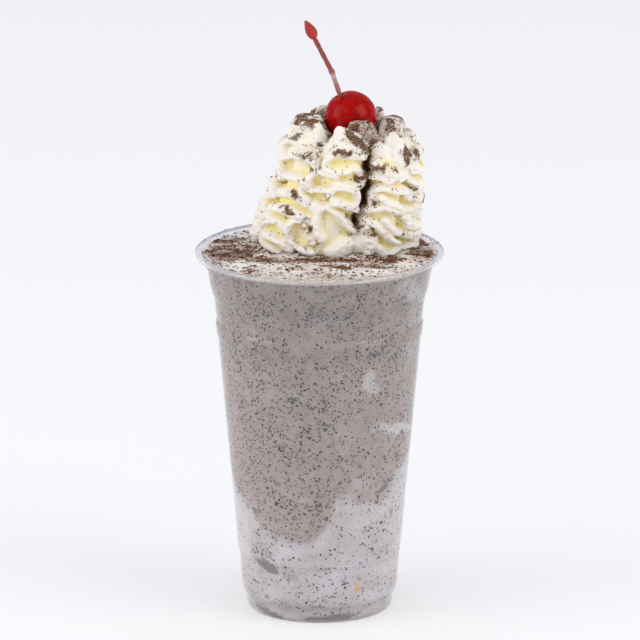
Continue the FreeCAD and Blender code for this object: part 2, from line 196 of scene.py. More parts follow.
# %% [markdown]
# ## The cup
#
# The real cup is one sheet of clear plastic, drawn into a mould: a rolled lip, a flared neck, a stacking
# ledge, a grip bead, a tapered body, and a foot with a raised floor.  A turned shape could be made with
# the Screw modifier, but writing its rings ourselves lets the drink share exactly the same line.  The
# sizes are those of the CAD cup.

# %% Cup: sizes and profile
WALL = 0.45                 # thickness of the sheet
CUP_HEIGHT = 145.0
LIP_RADIUS = 49.0
LIP_ROLL = 1.0
MOUTH = LIP_RADIUS - 3.2    # radius of the inner face under the lip
FOOT_RADIUS = 28.6


def arc(centre, radius, start, end, steps=8):
    """Points along an arc about (radius, height), between two angles in degrees."""
    angles = np.radians(np.linspace(start, end, steps))
    return [(centre[0] + radius * math.cos(a), centre[1] + radius * math.sin(a)) for a in angles]


def inner_line():
    """The cup's inner face, from the axis over the raised floor and up to the mouth."""
    body_bottom = FOOT_RADIUS + 1.8
    waist = MOUTH - 6.3
    ring = body_bottom + (waist - body_bottom) * (23.2 - 10.5) / (CUP_HEIGHT - 34 - 10.5)
    return ([(0.0, 3.45), (20.7, 3.45), (23.5, WALL), (26.5, WALL)]
            + arc((26.5, WALL + 1.6), 1.6, -80, -10, 5)
            + [(28.6, 5.8), (29.1, 6.3), (29.9, 8.1), (body_bottom, 10.5),
               (ring - 0.35, 22.7), (ring + 0.05, 23.7),
               (waist, CUP_HEIGHT - 34), (waist + 0.55, CUP_HEIGHT - 33),
               (waist + 0.95, CUP_HEIGHT - 28.4), (waist + 0.4, CUP_HEIGHT - 27.4),
               (MOUTH - 4.7, CUP_HEIGHT - 17.8), (MOUTH - 4.1, CUP_HEIGHT - 16.8),
               (MOUTH - 3.1, CUP_HEIGHT - 13), (MOUTH - 2.3, CUP_HEIGHT - 8), (MOUTH, CUP_HEIGHT - 1)])


def lip_line():
    """Over the brim, round the roll and under it."""
    low = CUP_HEIGHT - LIP_ROLL
    return (arc((MOUTH + LIP_ROLL, low), LIP_ROLL, 170, 90, 6)
            + arc((LIP_RADIUS - LIP_ROLL, low), LIP_ROLL, 90, -40, 12))


def respaced(line, spacing, extra=0):
    """The line with its points about `spacing` apart."""
    along = np.concatenate([[0], np.cumsum(np.hypot(*np.diff(line, axis=0).T))])
    places = np.linspace(0, along[-1], int(along[-1] / spacing) + extra)
    return np.stack([np.interp(places, along, line[:, axis]) for axis in (0, 1)], axis=1)


def soften(profile, spacing=0.3, rounds=4):
    """The profile with its corners rounded off, as a moulded sheet's are."""
    line = respaced(np.array(profile), spacing, 1)
    for _ in range(rounds):
        line[1:-1] = (line[:-2] + 2 * line[1:-1] + line[2:]) / 4
    return line


def thinned(line, least_turn=0.02, longest=4.0):
    """The same line without the points that its straight runs don't need."""
    kept = [0]
    turned = 0.0
    for i in range(1, len(line) - 1):
        before, after = line[i] - line[i - 1], line[i + 1] - line[i]
        turned += abs(math.atan2(before[0] * after[1] - before[1] * after[0], before @ after))
        if turned > least_turn or np.hypot(*(line[i] - line[kept[-1]])) > longest:
            kept.append(i)
            turned = 0.0
    return line[kept + [len(line) - 1]]


def side_normals(line):
    """Unit normals on the outer side of a line that climbs away from the axis."""
    run = np.gradient(line, axis=0)
    run /= np.hypot(*run.T)[:, None]
    return np.stack([run[:, 1], -run[:, 0]], axis=1)


# %% [markdown]
# The inner line is softened first, and then thinned where it runs straight, so that rings are spent
# only on the bends.  The outer face is the same line moved out by the thickness of the sheet, which is
# what a solidify modifier would do, but this way the lip's roll can't fold over itself.

# %% Cup: mesh
CUP_COLUMNS = 256

face_line = soften(inner_line() + lip_line())
cup_inner = thinned(face_line)
cup_outer = cup_inner + side_normals(cup_inner) * WALL
cup_outer[:, 1] = np.maximum(cup_outer[:, 1], 0.0)
cup_rows = turned_rows(np.vstack([cup_outer[1:], cup_inner[:0:-1]]), CUP_COLUMNS)
cup_mesh = ring_mesh("clear_cup", cup_rows, first_pole=(0, 0, cup_outer[0, 1]),
                     last_pole=(0, 0, cup_inner[0, 1]))
print("rings in the cup:", len(cup_rows))

# %% [markdown]
# Clear plastic bends and mirrors light, but a cup is never perfectly clear: the drawn sheet is a little
# hazy and cool in colour, which shows most where it is seen edge-on, at the sides and in the lip.  A
# transmitting Principled shader with a faint cool tint and a small share of haze does that.  For lamps
# the sheet lets light straight through, so the drink inside is lit as it would be.

# %% Clear plastic


def new_material(name):
    """An empty node material, with the node list and a function that joins two sockets."""
    material = bpy.data.materials.new(name)
    material.use_nodes = True
    tree = material.node_tree
    tree.nodes.clear()
    return material, tree.nodes, tree.links.new


def principled(nodes, **values):
    """A Principled shader whose sockets are set by name, with _ for a space."""
    shader = nodes.new("ShaderNodeBsdfPrincipled")
    for label, value in values.items():
        shader.inputs[label.replace("_", " ")].default_value = value
    return shader


def clear_plastic():
    """Transmitting sheet for what is seen, and nothing at all for the rays that look for a lamp."""
    material, nodes, join = new_material("clear_plastic")
    sheet = principled(nodes, Base_Color=(0.92, 0.915, 0.94, 1), Roughness=0.03, IOR=1.46,
                       Transmission_Weight=0.94)
    free = nodes.new("ShaderNodeBsdfTransparent")
    path = nodes.new("ShaderNodeLightPath")
    choice = nodes.new("ShaderNodeMixShader")
    out = nodes.new("ShaderNodeOutputMaterial")
    join(path.outputs["Is Shadow Ray"], choice.inputs[0])
    join(sheet.outputs[0], choice.inputs[1])
    join(free.outputs[0], choice.inputs[2])
    join(choice.outputs[0], out.inputs[0])
    return material


add_piece("clear_cup", cup_mesh, clear_plastic(), "cup")

# %% [markdown]
# ## The drink
#
# The shake fills the cup to just under its lip.  In the model it is a solid whose side lies a hair inside
# the sheet, so that no gap of air shows between drink and plastic.  Its looks come from what was
# stirred into it: a warm grey-brown shake above, milk that was stirred in less well below, a few air
# pockets pressed against the wall, and crumbs everywhere.
#
# Large soft regions like these are easiest to place as values on the mesh's points.  Four are painted:
# how milky the drink is, how deep an air pocket goes, a painted light and shade that makes the tone
# brighter low down and darker near the top and in soft bands, and one caramel spot.

# %% Drink: where the milk and the pockets are
DRINK_LEVEL = 143.5
DRINK_IN_WALL = 0.12       # how far the drink's side reaches into the sheet

# Each patch: place round the cup in millimetres to the right of the front, height, half width, half
# height, slope of its long axis in degrees, and strength.  Centres on the front come from another
# script, and the rest was chosen by hand.
MILKY_PATCHES = [
    (21.6, 99.8, 5.2, 2.7, -55, 0.75), (35.5, 77.9, 12.5, 2.4, -11, 0.95),
    (43.0, 135.0, 10.0, 4.6, -30, 0.75), (43.0, 109.0, 4.5, 4.0, -40, 0.45),
    (-38.0, 40.0, 9.5, 2.6, -48, 0.9), (17.4, 58.5, 5.0, 3.0, -10, 0.35),
    (44.0, 120.0, 3.0, 8.0, 0, 0.25), (70.0, 80.0, 9.0, 5.0, -20, 0.7),
    (-75.0, 100.0, 7.0, 9.0, 25, 0.6), (100.0, 104.0, 12.0, 4.0, 10, 0.6),
    (-108.0, 66.0, 9.0, 4.0, -15, 0.6),
]
BROWN_STAINS = [
    (-12.8, 21.5, 4.2, 2.8, -38, 0.55), (-5.0, 27.3, 9.0, 2.0, 5, 0.22), (16.0, 20.0, 5.0, 3.0, 10, 0.20),
    (-24.0, 29.0, 5.0, 2.0, -30, 0.25), (31.5, 29.0, 6.5, 1.7, 20, 0.35), (60.0, 35.0, 8.0, 4.0, 10, 0.4),
    (-80.0, 30.0, 9.0, 4.0, -10, 0.4), (105.0, 22.0, 8.0, 4.0, 0, 0.4),
]
AIR_POCKETS = [
    (-22.3, 22.4, 6.2, 2.1, -18, 1.0), (-17.4, 58.0, 1.6, 1.0, -8, 0.95), (27.6, 54.3, 3.5, 1.1, 26, 0.95),
    (33.5, 43.3, 0.8, 1.9, -14, 0.8), (-22.6, 9.5, 1.2, 0.9, 0, 0.7), (-30.3, 27.1, 1.4, 0.9, -20, 0.6),
    (-2.0, 7.7, 3.6, 0.5, -3, 0.7), (-28.8, 141.0, 2.8, 0.9, -5, 0.85), (38.6, 136.7, 0.9, 1.2, -30, 0.9),
    (-22.5, 2.4, 8.0, 1.3, -9, 1.0), (4.5, 2.3, 10.5, 1.2, 1, 1.0), (8.4, 120.2, 1.1, 0.7, 20, 0.5),
    (60.0, 30.0, 4.0, 1.5, 20, 0.8), (-70.0, 52.0, 3.0, 1.4, -20, 0.8), (92.0, 12.0, 5.0, 1.6, 5, 0.9),
    (-95.0, 120.0, 2.5, 1.4, 10, 0.7),
]
CRUMB_CLUSTERS = [
    (8.4, 120.2, 2.0, 1.6, 20, 1.0), (-0.2, 108.5, 2.2, 1.2, 0, 1.0), (21.5, 111.5, 3.0, 1.0, 20, 0.8),
    (34.0, 109.5, 2.0, 1.6, 40, 1.0), (-11.3, 93.9, 2.0, 1.2, 0, 1.0), (34.1, 104.0, 1.2, 2.0, 0, 0.8),
    (-14.0, 72.0, 7.0, 2.5, -20, 0.5), (-60.0, 90.0, 3.0, 2.0, 0, 1.0), (80.0, 110.0, 3.0, 2.0, 0, 1.0),
]
CARAMEL = [(15.6, 14.1, 1.5, 1.4, 20, 1.0)]
print("patches:", len(MILKY_PATCHES), "milky,", len(BROWN_STAINS), "brown,", len(AIR_POCKETS), "air pockets")

# %% [markdown]
# The lists are turned into values by a few functions.  Each soft ellipse is bent by noise before it is
# used, because stirred milk ends in torn, curling edges and never in a clean oval.

# %% Drink: painted values


def patch_mask(places, heights, patches, edge):
    """The strongest of a list of slanted soft ellipses at each place on the wall."""
    mask = np.zeros_like(heights)
    for centre, height, half_width, half_height, slope, strength in patches:
        across, up = places - centre, heights - height
        turn = math.radians(slope)
        u = (across * math.cos(turn) + up * math.sin(turn)) / half_width
        v = (up * math.cos(turn) - across * math.sin(turn)) / half_height
        mask = np.maximum(mask, strength * ease((1 - np.hypot(u, v)) / edge + 0.5))
    return mask


def wall_place(points):
    """Distance round the cup from the front, in millimetres to the right, and the height."""
    turn = np.arctan2(points[..., 0], -points[..., 1])
    return turn * np.hypot(points[..., 0], points[..., 1]), points[..., 2]


# The border between shake and milky drink: place round the cup in millimetres, and height.
MILK_BORDER = [(-107, 62), (-90, 52), (-72, 60), (-55, 66), (-45, 55), (-33, 45), (-25, 39), (-16, 35),
               (-8, 34), (0, 36), (4, 45), (6, 51), (12, 54), (18, 50), (24, 49), (28, 53), (33, 58),
               (40, 63), (50, 68), (66, 60), (80, 64), (95, 70), (107, 62)]


BORDER_RADIUS = 33.0       # the border's places are counted at this radius


def milk_line(points):
    """Height of the border, which wanders round the cup."""
    known = np.array(MILK_BORDER, dtype=float)
    places = np.arctan2(points[..., 0], -points[..., 1]) * BORDER_RADIUS
    return np.interp(places, known[:, 0], known[:, 1])


def milkiness(points):
    """0 in plain shake, 1 where the drink is nearly milk."""
    heights = points[..., 2]
    warp = 2.6 * rough(points, 9, 3, 11) + 1.0 * rough(points, 3, 2, 14)
    below = ease((milk_line(points) - heights + warp) / 6 + 0.5)
    streaky = 0.80 + 0.28 * rough(points * (1, 1, 1.6), 12, 3, 17)
    below = np.clip(below * streaky, 0, 1)
    swirl = 0.16 * ease(rough(points * (1, 1, 2.0), 9, 4, 21) * 1.6 - 0.35)
    patch_warp = 1.6 * rough(points, 4, 4, 31)
    places = wall_place(points)[0] + patch_warp
    patches = patch_mask(places, heights + patch_warp, MILKY_PATCHES, 0.8)
    whole = np.maximum(np.maximum(below, swirl), patches)
    stains = patch_mask(places, heights + patch_warp, BROWN_STAINS, 0.9)
    ring = 0.30 * hump(heights, 23.3, 0.5) + 0.30 * ease((8.5 - heights) / 2)
    return np.clip(whole - stains - ring, 0, 1)


def painted_light_and_shade(points):
    """Painted light and shade: 1 at the plain tone, darker near the top and in two soft bands, lighter
    below, with a little random tone.
    """
    heights = points[..., 2]
    warp = 1.5 * rough(points, 16, 2, 35)
    slope = np.interp(heights, [0, 20, 40, 70, 100, 125, 143], [1.10, 1.13, 1.16, 1.08, 1.02, 0.92, 0.90])
    bands = 0.07 * hump(heights + warp, 129, 2.5) + 0.06 * hump(heights + warp, 113.6, 2.5)
    return slope - bands + 0.05 * rough(points, 5, 3, 37)


def pocket_depth(points):
    """1 in the middle of an air pocket against the wall, 0 outside it."""
    places, heights = wall_place(points)
    warp = 0.35 * noise(points, 3, 41)
    return patch_mask(places + warp, heights + warp, AIR_POCKETS, 0.25)


# %% [markdown]
# The drink has no shape of its own: it takes the cup's.  Its side is the cup's inner line moved a hair
# outward, and the air pockets are dents of a tenth of a millimetre, just enough to catch the light.

# %% Drink: mesh
DRINK_COLUMNS = 384
DRINK_RING_GAP = 0.85
POCKET_DENT = 0.10


def drink_line(top):
    """The drink's side: the cup's inner line up to a height, moved a hair into the sheet."""
    line = face_line + side_normals(face_line) * DRINK_IN_WALL
    climbing = line[: len(soften(inner_line()))]
    return respaced(climbing[climbing[:, 1] < top], DRINK_RING_GAP)


body_line = drink_line(DRINK_LEVEL - 1.2)
body_rows = turned_rows(body_line[1:], DRINK_COLUMNS)
body_pocket = pocket_depth(body_rows)
body_milk = milkiness(body_rows)
on_wall = ease((body_rows[..., 2] - 0.6) / 1.0)
dent = POCKET_DENT * body_pocket * on_wall
round_distance = np.hypot(body_rows[..., 0], body_rows[..., 1])
body_rows[..., :2] *= (1 - dent / np.maximum(round_distance, 1))[..., None]
# The tone value painted here is painted light and shade on the drink's side.
body_mesh = ring_mesh("shake_body", body_rows,
                      {"milk": body_milk, "pocket": body_pocket, "tone": painted_light_and_shade(body_rows),
                       "caramel": patch_mask(*wall_place(body_rows), CARAMEL, 0.6)},
                      first_pole=(0, 0, body_line[0, 1]), last_pole=(0, 0, body_line[-1, 1]))
print("drink grid:", body_rows.shape, "milky share", round(float(body_milk.mean()), 2))

# %% [markdown]
# ## Nodes for food
#
# Each finish below is a small tree of shader nodes.  The same few steps come back in all of them, so
# each step is a function that adds its nodes and gives back a socket.  A colour is built by nesting
# them, as in mixed(share, one, other), and every tree reads Object coordinates scaled to millimetres,
# so that a noise of one bump in a millimetre means the same on every piece.

# %% Node helpers


def fill_socket(join, socket, value):
    """Give a socket a link, a number or a colour, whichever the value is."""
    if isinstance(value, bpy.types.NodeSocket):
        join(value, socket)
    elif isinstance(value, (int, float)):
        socket.default_value = value
    else:
        socket.default_value = (*value, 1)


def coordinates_in_mm(nodes, join):
    """Object coordinates in millimetres."""
    coordinate = nodes.new("ShaderNodeTexCoord")
    scaled = nodes.new("ShaderNodeMapping")
    scaled.inputs["Scale"].default_value = (1 / MM,) * 3
    join(coordinate.outputs["Object"], scaled.inputs["Vector"])
    return scaled.outputs[0]


def noise_node(nodes, join, vector, bumps_per_mm, detail=3.0, roughness=0.55):
    """Cloudy noise from 0 to 1; more detail and roughness break it up more finely."""
    node = nodes.new("ShaderNodeTexNoise")
    node.inputs["Scale"].default_value = bumps_per_mm
    node.inputs["Detail"].default_value = detail
    node.inputs["Roughness"].default_value = roughness
    join(vector, node.inputs["Vector"])
    return node.outputs["Fac"]


def ramp(nodes, join, value, stops):
    """A colour ramp from (place, colour) stops."""
    node = nodes.new("ShaderNodeValToRGB")
    elements = node.color_ramp.elements
    elements[0].position, elements[0].color = stops[0][0], (*stops[0][1], 1)
    elements[1].position, elements[1].color = stops[-1][0], (*stops[-1][1], 1)
    for place, colour in stops[1:-1]:
        elements.new(place).color = (*colour, 1)
    join(value, node.inputs[0])
    return node.outputs[0]


def grey_ramp(nodes, join, value, start, end, low=0.0, high=1.0):
    """A number that goes from low to high as the value goes from start to end."""
    node = nodes.new("ShaderNodeMapRange")
    node.interpolation_type = "SMOOTHSTEP"
    for label, number in (("From Min", start), ("From Max", end), ("To Min", low), ("To Max", high)):
        node.inputs[label].default_value = number
    join(value, node.inputs["Value"])
    return node.outputs["Result"]


def mixed(nodes, join, share, first, second):
    """A mix of two colours; each may be a colour or a socket, and so may the share."""
    node = nodes.new("ShaderNodeMix")
    node.data_type = "RGBA"
    for socket, value in ((node.inputs["Factor"], share), (node.inputs[6], first), (node.inputs[7], second)):
        fill_socket(join, socket, value)
    return node.outputs[2]


def attribute(nodes, name):
    """The value that was painted on the mesh under this name."""
    node = nodes.new("ShaderNodeAttribute")
    node.attribute_name = name
    return node.outputs["Fac"]


def maths(nodes, join, operation, *values):
    """One step of arithmetic; each value may be a number or a socket."""
    node = nodes.new("ShaderNodeMath")
    node.operation = operation
    for socket, value in zip(node.inputs, values):
        fill_socket(join, socket, value)
    return node.outputs[0]


def multiplied(nodes, join, first, second):
    """The product of two numbers or sockets."""
    return maths(nodes, join, "MULTIPLY", first, second)


def flecks(nodes, join, vector, spacing, size, softness):
    """1 on small round flecks about `spacing` apart, 0 between them."""
    cells = nodes.new("ShaderNodeTexVoronoi")
    cells.inputs["Scale"].default_value = 1 / spacing
    cells.inputs["Randomness"].default_value = 1.0
    join(vector, cells.inputs["Vector"])
    return grey_ramp(nodes, join, cells.outputs["Distance"], size + softness, size)


def streaked(nodes, join, vector):
    """Coordinates drawn out along a line that falls to the right."""
    node = nodes.new("ShaderNodeMapping")
    node.inputs["Rotation"].default_value = (0, math.radians(-35), 0)
    node.inputs["Scale"].default_value = (0.65, 1.0, 2.0)
    join(vector, node.inputs["Vector"])
    return node.outputs["Vector"]


THIN_COCOA = (0.35, 0.205, 0.105)     # a veil of powder too fine to be seen as grains


def cocoa_over(nodes, join, vector, body, amount, pile=0.24, veil=0.38, streaks=False,
               dark=(0.042, 0.016, 0.007), light=(0.150, 0.072, 0.038)):
    """Cocoa powder over a colour: a solid brown where the amount is 1, breaking up into flecks below."""
    body = mixed(nodes, join, multiplied(nodes, join, amount, veil), body, THIN_COCOA)
    powder = noise_node(nodes, join, streaked(nodes, join, vector) if streaks else vector, 1.7, 6.0, 0.80)
    piled = maths(nodes, join, "MULTIPLY_ADD", amount, pile, powder)
    cover = grey_ramp(nodes, join, piled, 0.655, 0.715, 0.0, 0.94)
    tone = grey_ramp(nodes, join, noise_node(nodes, join, vector, 1.1, 5.0, 0.75), 0.40, 0.66)
    return mixed(nodes, join, cover, body, mixed(nodes, join, tone, dark, light))


def bumped(nodes, join, height, strength, distance):
    """A normal that follows a height, so that light sees small bumps on a smooth mesh."""
    node = nodes.new("ShaderNodeBump")
    node.inputs["Strength"].default_value = strength
    node.inputs["Distance"].default_value = distance
    join(height, node.inputs["Height"])
    return node.outputs[0]


def finish_material(nodes, join, shader):
    """Lead the shader to the material's output."""
    out = nodes.new("ShaderNodeOutputMaterial")
    join(shader.outputs[0], out.inputs[0])

# %% [markdown]
# The drink's colour mixes two tones by the painted milkiness, breaks them up with cloudy noise, and sets
# fine flecks into them with a Voronoi pattern.  The flecks that are large enough to have a shape are
# made as real crumbs further down.

# %% Drink: material
SHAKE = (0.474, 0.395, 0.372)
SHAKE_DARK = (0.398, 0.325, 0.300)
SHAKE_FINE = (0.560, 0.480, 0.465)
MILK = (0.672, 0.658, 0.682)
CARAMEL_TONE = (0.80, 0.50, 0.22)
# Painted shade for the air pockets, on top of their small dents.
POCKET_SHADE = (0.215, 0.190, 0.205)
FLECK = (0.045, 0.042, 0.048)


def shake_material():
    """Grey-brown and milky tones by the painted values, with clouds and flecks in them."""
    material, nodes, join = new_material("speckled_shake")
    vector = coordinates_in_mm(nodes, join)
    cloudy = noise_node(nodes, join, vector, 0.24, 5.0, 0.65)
    shade = grey_ramp(nodes, join, cloudy, 0.36, 0.66)
    brown = mixed(nodes, join, shade, SHAKE_DARK, SHAKE)
    fine = noise_node(nodes, join, vector, 0.9, 3.0, 0.6)
    brown = mixed(nodes, join, grey_ramp(nodes, join, fine, 0.35, 0.65, 0.0, 0.22), brown, SHAKE_FINE)
    body = mixed(nodes, join, attribute(nodes, "milk"), brown, MILK)
    # Painted light and shade: the colour is scaled by the painted tone value.
    painted_lit_body = nodes.new("ShaderNodeVectorMath")
    painted_lit_body.operation = "SCALE"
    join(body, painted_lit_body.inputs[0])
    join(attribute(nodes, "tone"), painted_lit_body.inputs["Scale"])
    body = mixed(nodes, join, attribute(nodes, "caramel"), painted_lit_body.outputs[0], CARAMEL_TONE)
    # Painted shade in the air pockets.
    body = mixed(nodes, join, multiplied(nodes, join, attribute(nodes, "pocket"), 0.9), body, POCKET_SHADE)
    near = flecks(nodes, join, vector, 1.7, 0.16, 0.07)
    thinner = grey_ramp(nodes, join, noise_node(nodes, join, vector, 0.35, 2.0), 0.34, 0.56, 0.1, 0.6)
    body = mixed(nodes, join, multiplied(nodes, join, near, thinner), body, FLECK)
    shader = principled(nodes, Roughness=0.5, Subsurface_Weight=0.15, Subsurface_Scale=0.002,
                        Specular_IOR_Level=0.3)
    join(body, shader.inputs["Base Color"])
    finish_material(nodes, join, shader)
    return material


add_piece("shake_body", body_mesh, shake_material(), "milkshake")

# %% [markdown]
# ## The whipped cream
#
# Cream from a star nozzle is laid round and round, and every time the nozzle swings back the ribbon
# folds over itself.  The mound is therefore eight upright lobes, each a stack of soft folds that droop
# over the crease below, and the tips of the lobes lean in round the cherry.
#
# It could be sculpted or simulated.  Here it is one grid of points: a direction round the mound and a
# share of the way up give a place, and a few rules bend the surface.  Furrows cut in between lobes,
# creases cut in between folds, and each crease stays open on one side of its lobe only.  The rules are
# those of the CAD mound, on a finer grid, with unevenness added.

# %% Cream: sizes and lobes
LOBES = 8
CREAM_X, CREAM_Y = 5.8, 13.0           # the middle of its foot
LEAN_X, LEAN_Y = 7.4, -4.5             # how far the middle has moved at the top
CREAM_RADIUS, CREAM_TOP_RADIUS, CREAM_DEPTH = 33.5, 28.7, 0.83
HEM, TIPS = 145.5, 194.5               # heights of its foot and of a plain tip
TIP_LENGTH, TIP_BULGE, TIP_WIDTH, TIP_NOTCH = 13.0, 0.6, 4.4, 6.5
FURROW, LOBE_FLATNESS = 4.2, 0.75
FRONT_LOBE = 262.0                     # the direction of the front lobe, in degrees
LOBE_RISE = np.array([0.3, -3.5, -4, 0, 1.5, 4, 3, 3.5])
INNER_TIP, INNER_TIP_AT, INNER_TIP_WIDTH = 4.0, 0.52, 0.25   # a small lobe set back between two others
LOBE_FURROW = np.array([3.4, 0.4, 0, 0.6, 0, 0.4, 0, -2.0])
CHERRY_RADIUS = 10.2
CHERRY_CENTRE = np.array([12.2, 8.5, 196.7])
NEST_GAP, NEST_ANGLE = 0.12, math.radians(42)
CREAM_COLUMNS, CREAM_ROWS = 500, 140


def lobe_at(column):
    """The lobe a column is on and its place across it, with columns counted in lobes from the front."""
    lobe = np.floor(column + 0.5).astype(int)
    return lobe % LOBES, column - lobe


def outward(column):
    """The direction from the mound's middle to a column, shortened from front to back."""
    angle = math.radians(FRONT_LOBE) + 2 * math.pi * column / LOBES
    return np.stack([np.cos(angle), CREAM_DEPTH * np.sin(angle), 0 * angle], axis=-1)


def blended(values, column):
    """A lobe's own value, led over into its neighbour's near the furrow between them."""
    lobe, across = lobe_at(column)
    neighbour = values[(lobe + np.where(across > 0, 1, -1)) % LOBES]
    return mix(values[lobe], neighbour, 0.5 * ease((abs(across) - 0.3) / 0.2))


def furrow_depth(column):
    """How far the surface draws in toward the furrow between two lobes."""
    lobe, across = lobe_at(column)
    following = np.where(across > 0, lobe, lobe - 1) % LOBES
    return (FURROW + LOBE_FURROW[following]) * (1 - np.cos(math.pi * across).clip(0) ** LOBE_FLATNESS)


def along_curve(points, shares):
    """Points of a Bezier curve with four corner arrays, one row for each share."""
    start, first, second, end = points
    s = np.asarray(shares)[:, None, None]
    return ((1 - s) ** 3 * start + 3 * (1 - s) ** 2 * s * first
            + 3 * (1 - s) * s ** 2 * second + s ** 3 * end)


print("lobe rises:", LOBE_RISE.tolist(), "furrow depths:", (FURROW + LOBE_FURROW).tolist())

# %% [markdown]
# The core is the mound without its folds: it climbs from the hem to the tips, turns over them along one
# Bezier curve, and goes down along another into the nest, a bowl that lies close under the cherry.
# More columns stand on the front than on the back, where nobody looks closely.

# %% Cream: the core and the tips
UP = np.array([0.0, 0.0, 1.0])
RIDGE = 3.5          # how far the ribbons stand out from the core


def core_points(column, share):
    """Points of the mound's core behind the ribbons, at shares of the way up to the tips."""
    lean = ease(share)
    radius = mix(CREAM_RADIUS, CREAM_TOP_RADIUS, lean) - furrow_depth(column) - RIDGE * 0.8
    points = outward(column) * radius[..., None]
    points[..., 0] += CREAM_X + LEAN_X * lean
    points[..., 1] += CREAM_Y + LEAN_Y * lean
    points[..., 2] = mix(HEM, TIPS + blended(LOBE_RISE, column) - TIP_LENGTH, share)
    return points


def kept_in_mouth(points):
    """Points near the foot, drawn in where they would touch the cup's mouth."""
    reach = np.hypot(points[..., 0], points[..., 1])
    limit = mix(MOUTH - 1.0, MOUTH + 30, ease((points[..., 2] - 147) / 30))
    points[..., :2] *= np.minimum(1, limit / np.maximum(reach, 1e-6))[..., None]
    return points


def nest_points(column, angle):
    """Points of the nest, at an angle up from the fruit's lowest point."""
    turn = math.radians(FRONT_LOBE) + 2 * math.pi * column / LOBES
    radius = CHERRY_RADIUS + NEST_GAP
    side = np.stack([np.cos(turn), np.sin(turn), 0 * turn], axis=-1) * (radius * math.sin(angle))
    return CHERRY_CENTRE + side - UP * (radius * math.cos(angle))


def spread_columns(count):
    """Columns counted in lobes from the front, closer together on the front than on the back."""
    fine = np.linspace(-4, 4, 4001)
    weight = 1.0 + 0.9 * np.exp(-(fine / 2.0) ** 4)
    along = np.concatenate([[0], np.cumsum((weight[1:] + weight[:-1]) / 2)])
    return np.interp(np.arange(count) / count * along[-1], along, fine)


column = spread_columns(CREAM_COLUMNS)
shares = np.arange(CREAM_ROWS + 1)[:, None] / CREAM_ROWS
core = core_points(column[None, :] + 0 * shares, shares + 0 * column[None, :])
across = lobe_at(column)[1]
side = outward(column)
height = (TIPS + blended(LOBE_RISE, column) - TIP_NOTCH * np.abs(2 * across) ** 2.3
          + INNER_TIP * hump(column, INNER_TIP_AT, INNER_TIP_WIDTH))
from_cherry = CHERRY_RADIUS + TIP_WIDTH - 2.4 * hump(column, INNER_TIP_AT, 0.22)
tip = CHERRY_CENTRE * (1, 1, 0) + side * (from_cherry / CREAM_DEPTH)[:, None] + height[:, None] * UP
start = core[-1]
rise = (tip - start)[:, 2:]
outer = (start, start + side * (2 * TIP_BULGE) + UP * rise * 0.45,
         tip + side * (TIP_WIDTH * 1.2) - UP * rise * 0.02, tip)
edge = nest_points(column, NEST_ANGLE)
tangent = side * math.cos(NEST_ANGLE) + UP * math.sin(NEST_ANGLE)
inner = (tip, tip - side * 0.6 - UP * rise * 0.25, edge + tangent * (TIP_WIDTH * 0.8), edge)
over = along_curve(outer, np.arange(1, 35) / 34)
down = along_curve(inner, np.arange(1, 12) / 11)
nest = np.array([nest_points(column, NEST_ANGLE * (1 - row / 5)) for row in range(1, 5)])
outside = np.concatenate([core, over])
print("core grid:", core.shape, "rows over the tips", len(over), "down inside", len(down), "nest", len(nest))

# %% [markdown]
# The ribbons come next.  Each is a line on the unrolled mound: so many millimetres to the right of the
# front, and so high.  Near a ribbon's line the surface stands out from the core with a round back, and
# where the line doubles back on itself, a hollow is left inside the loop.

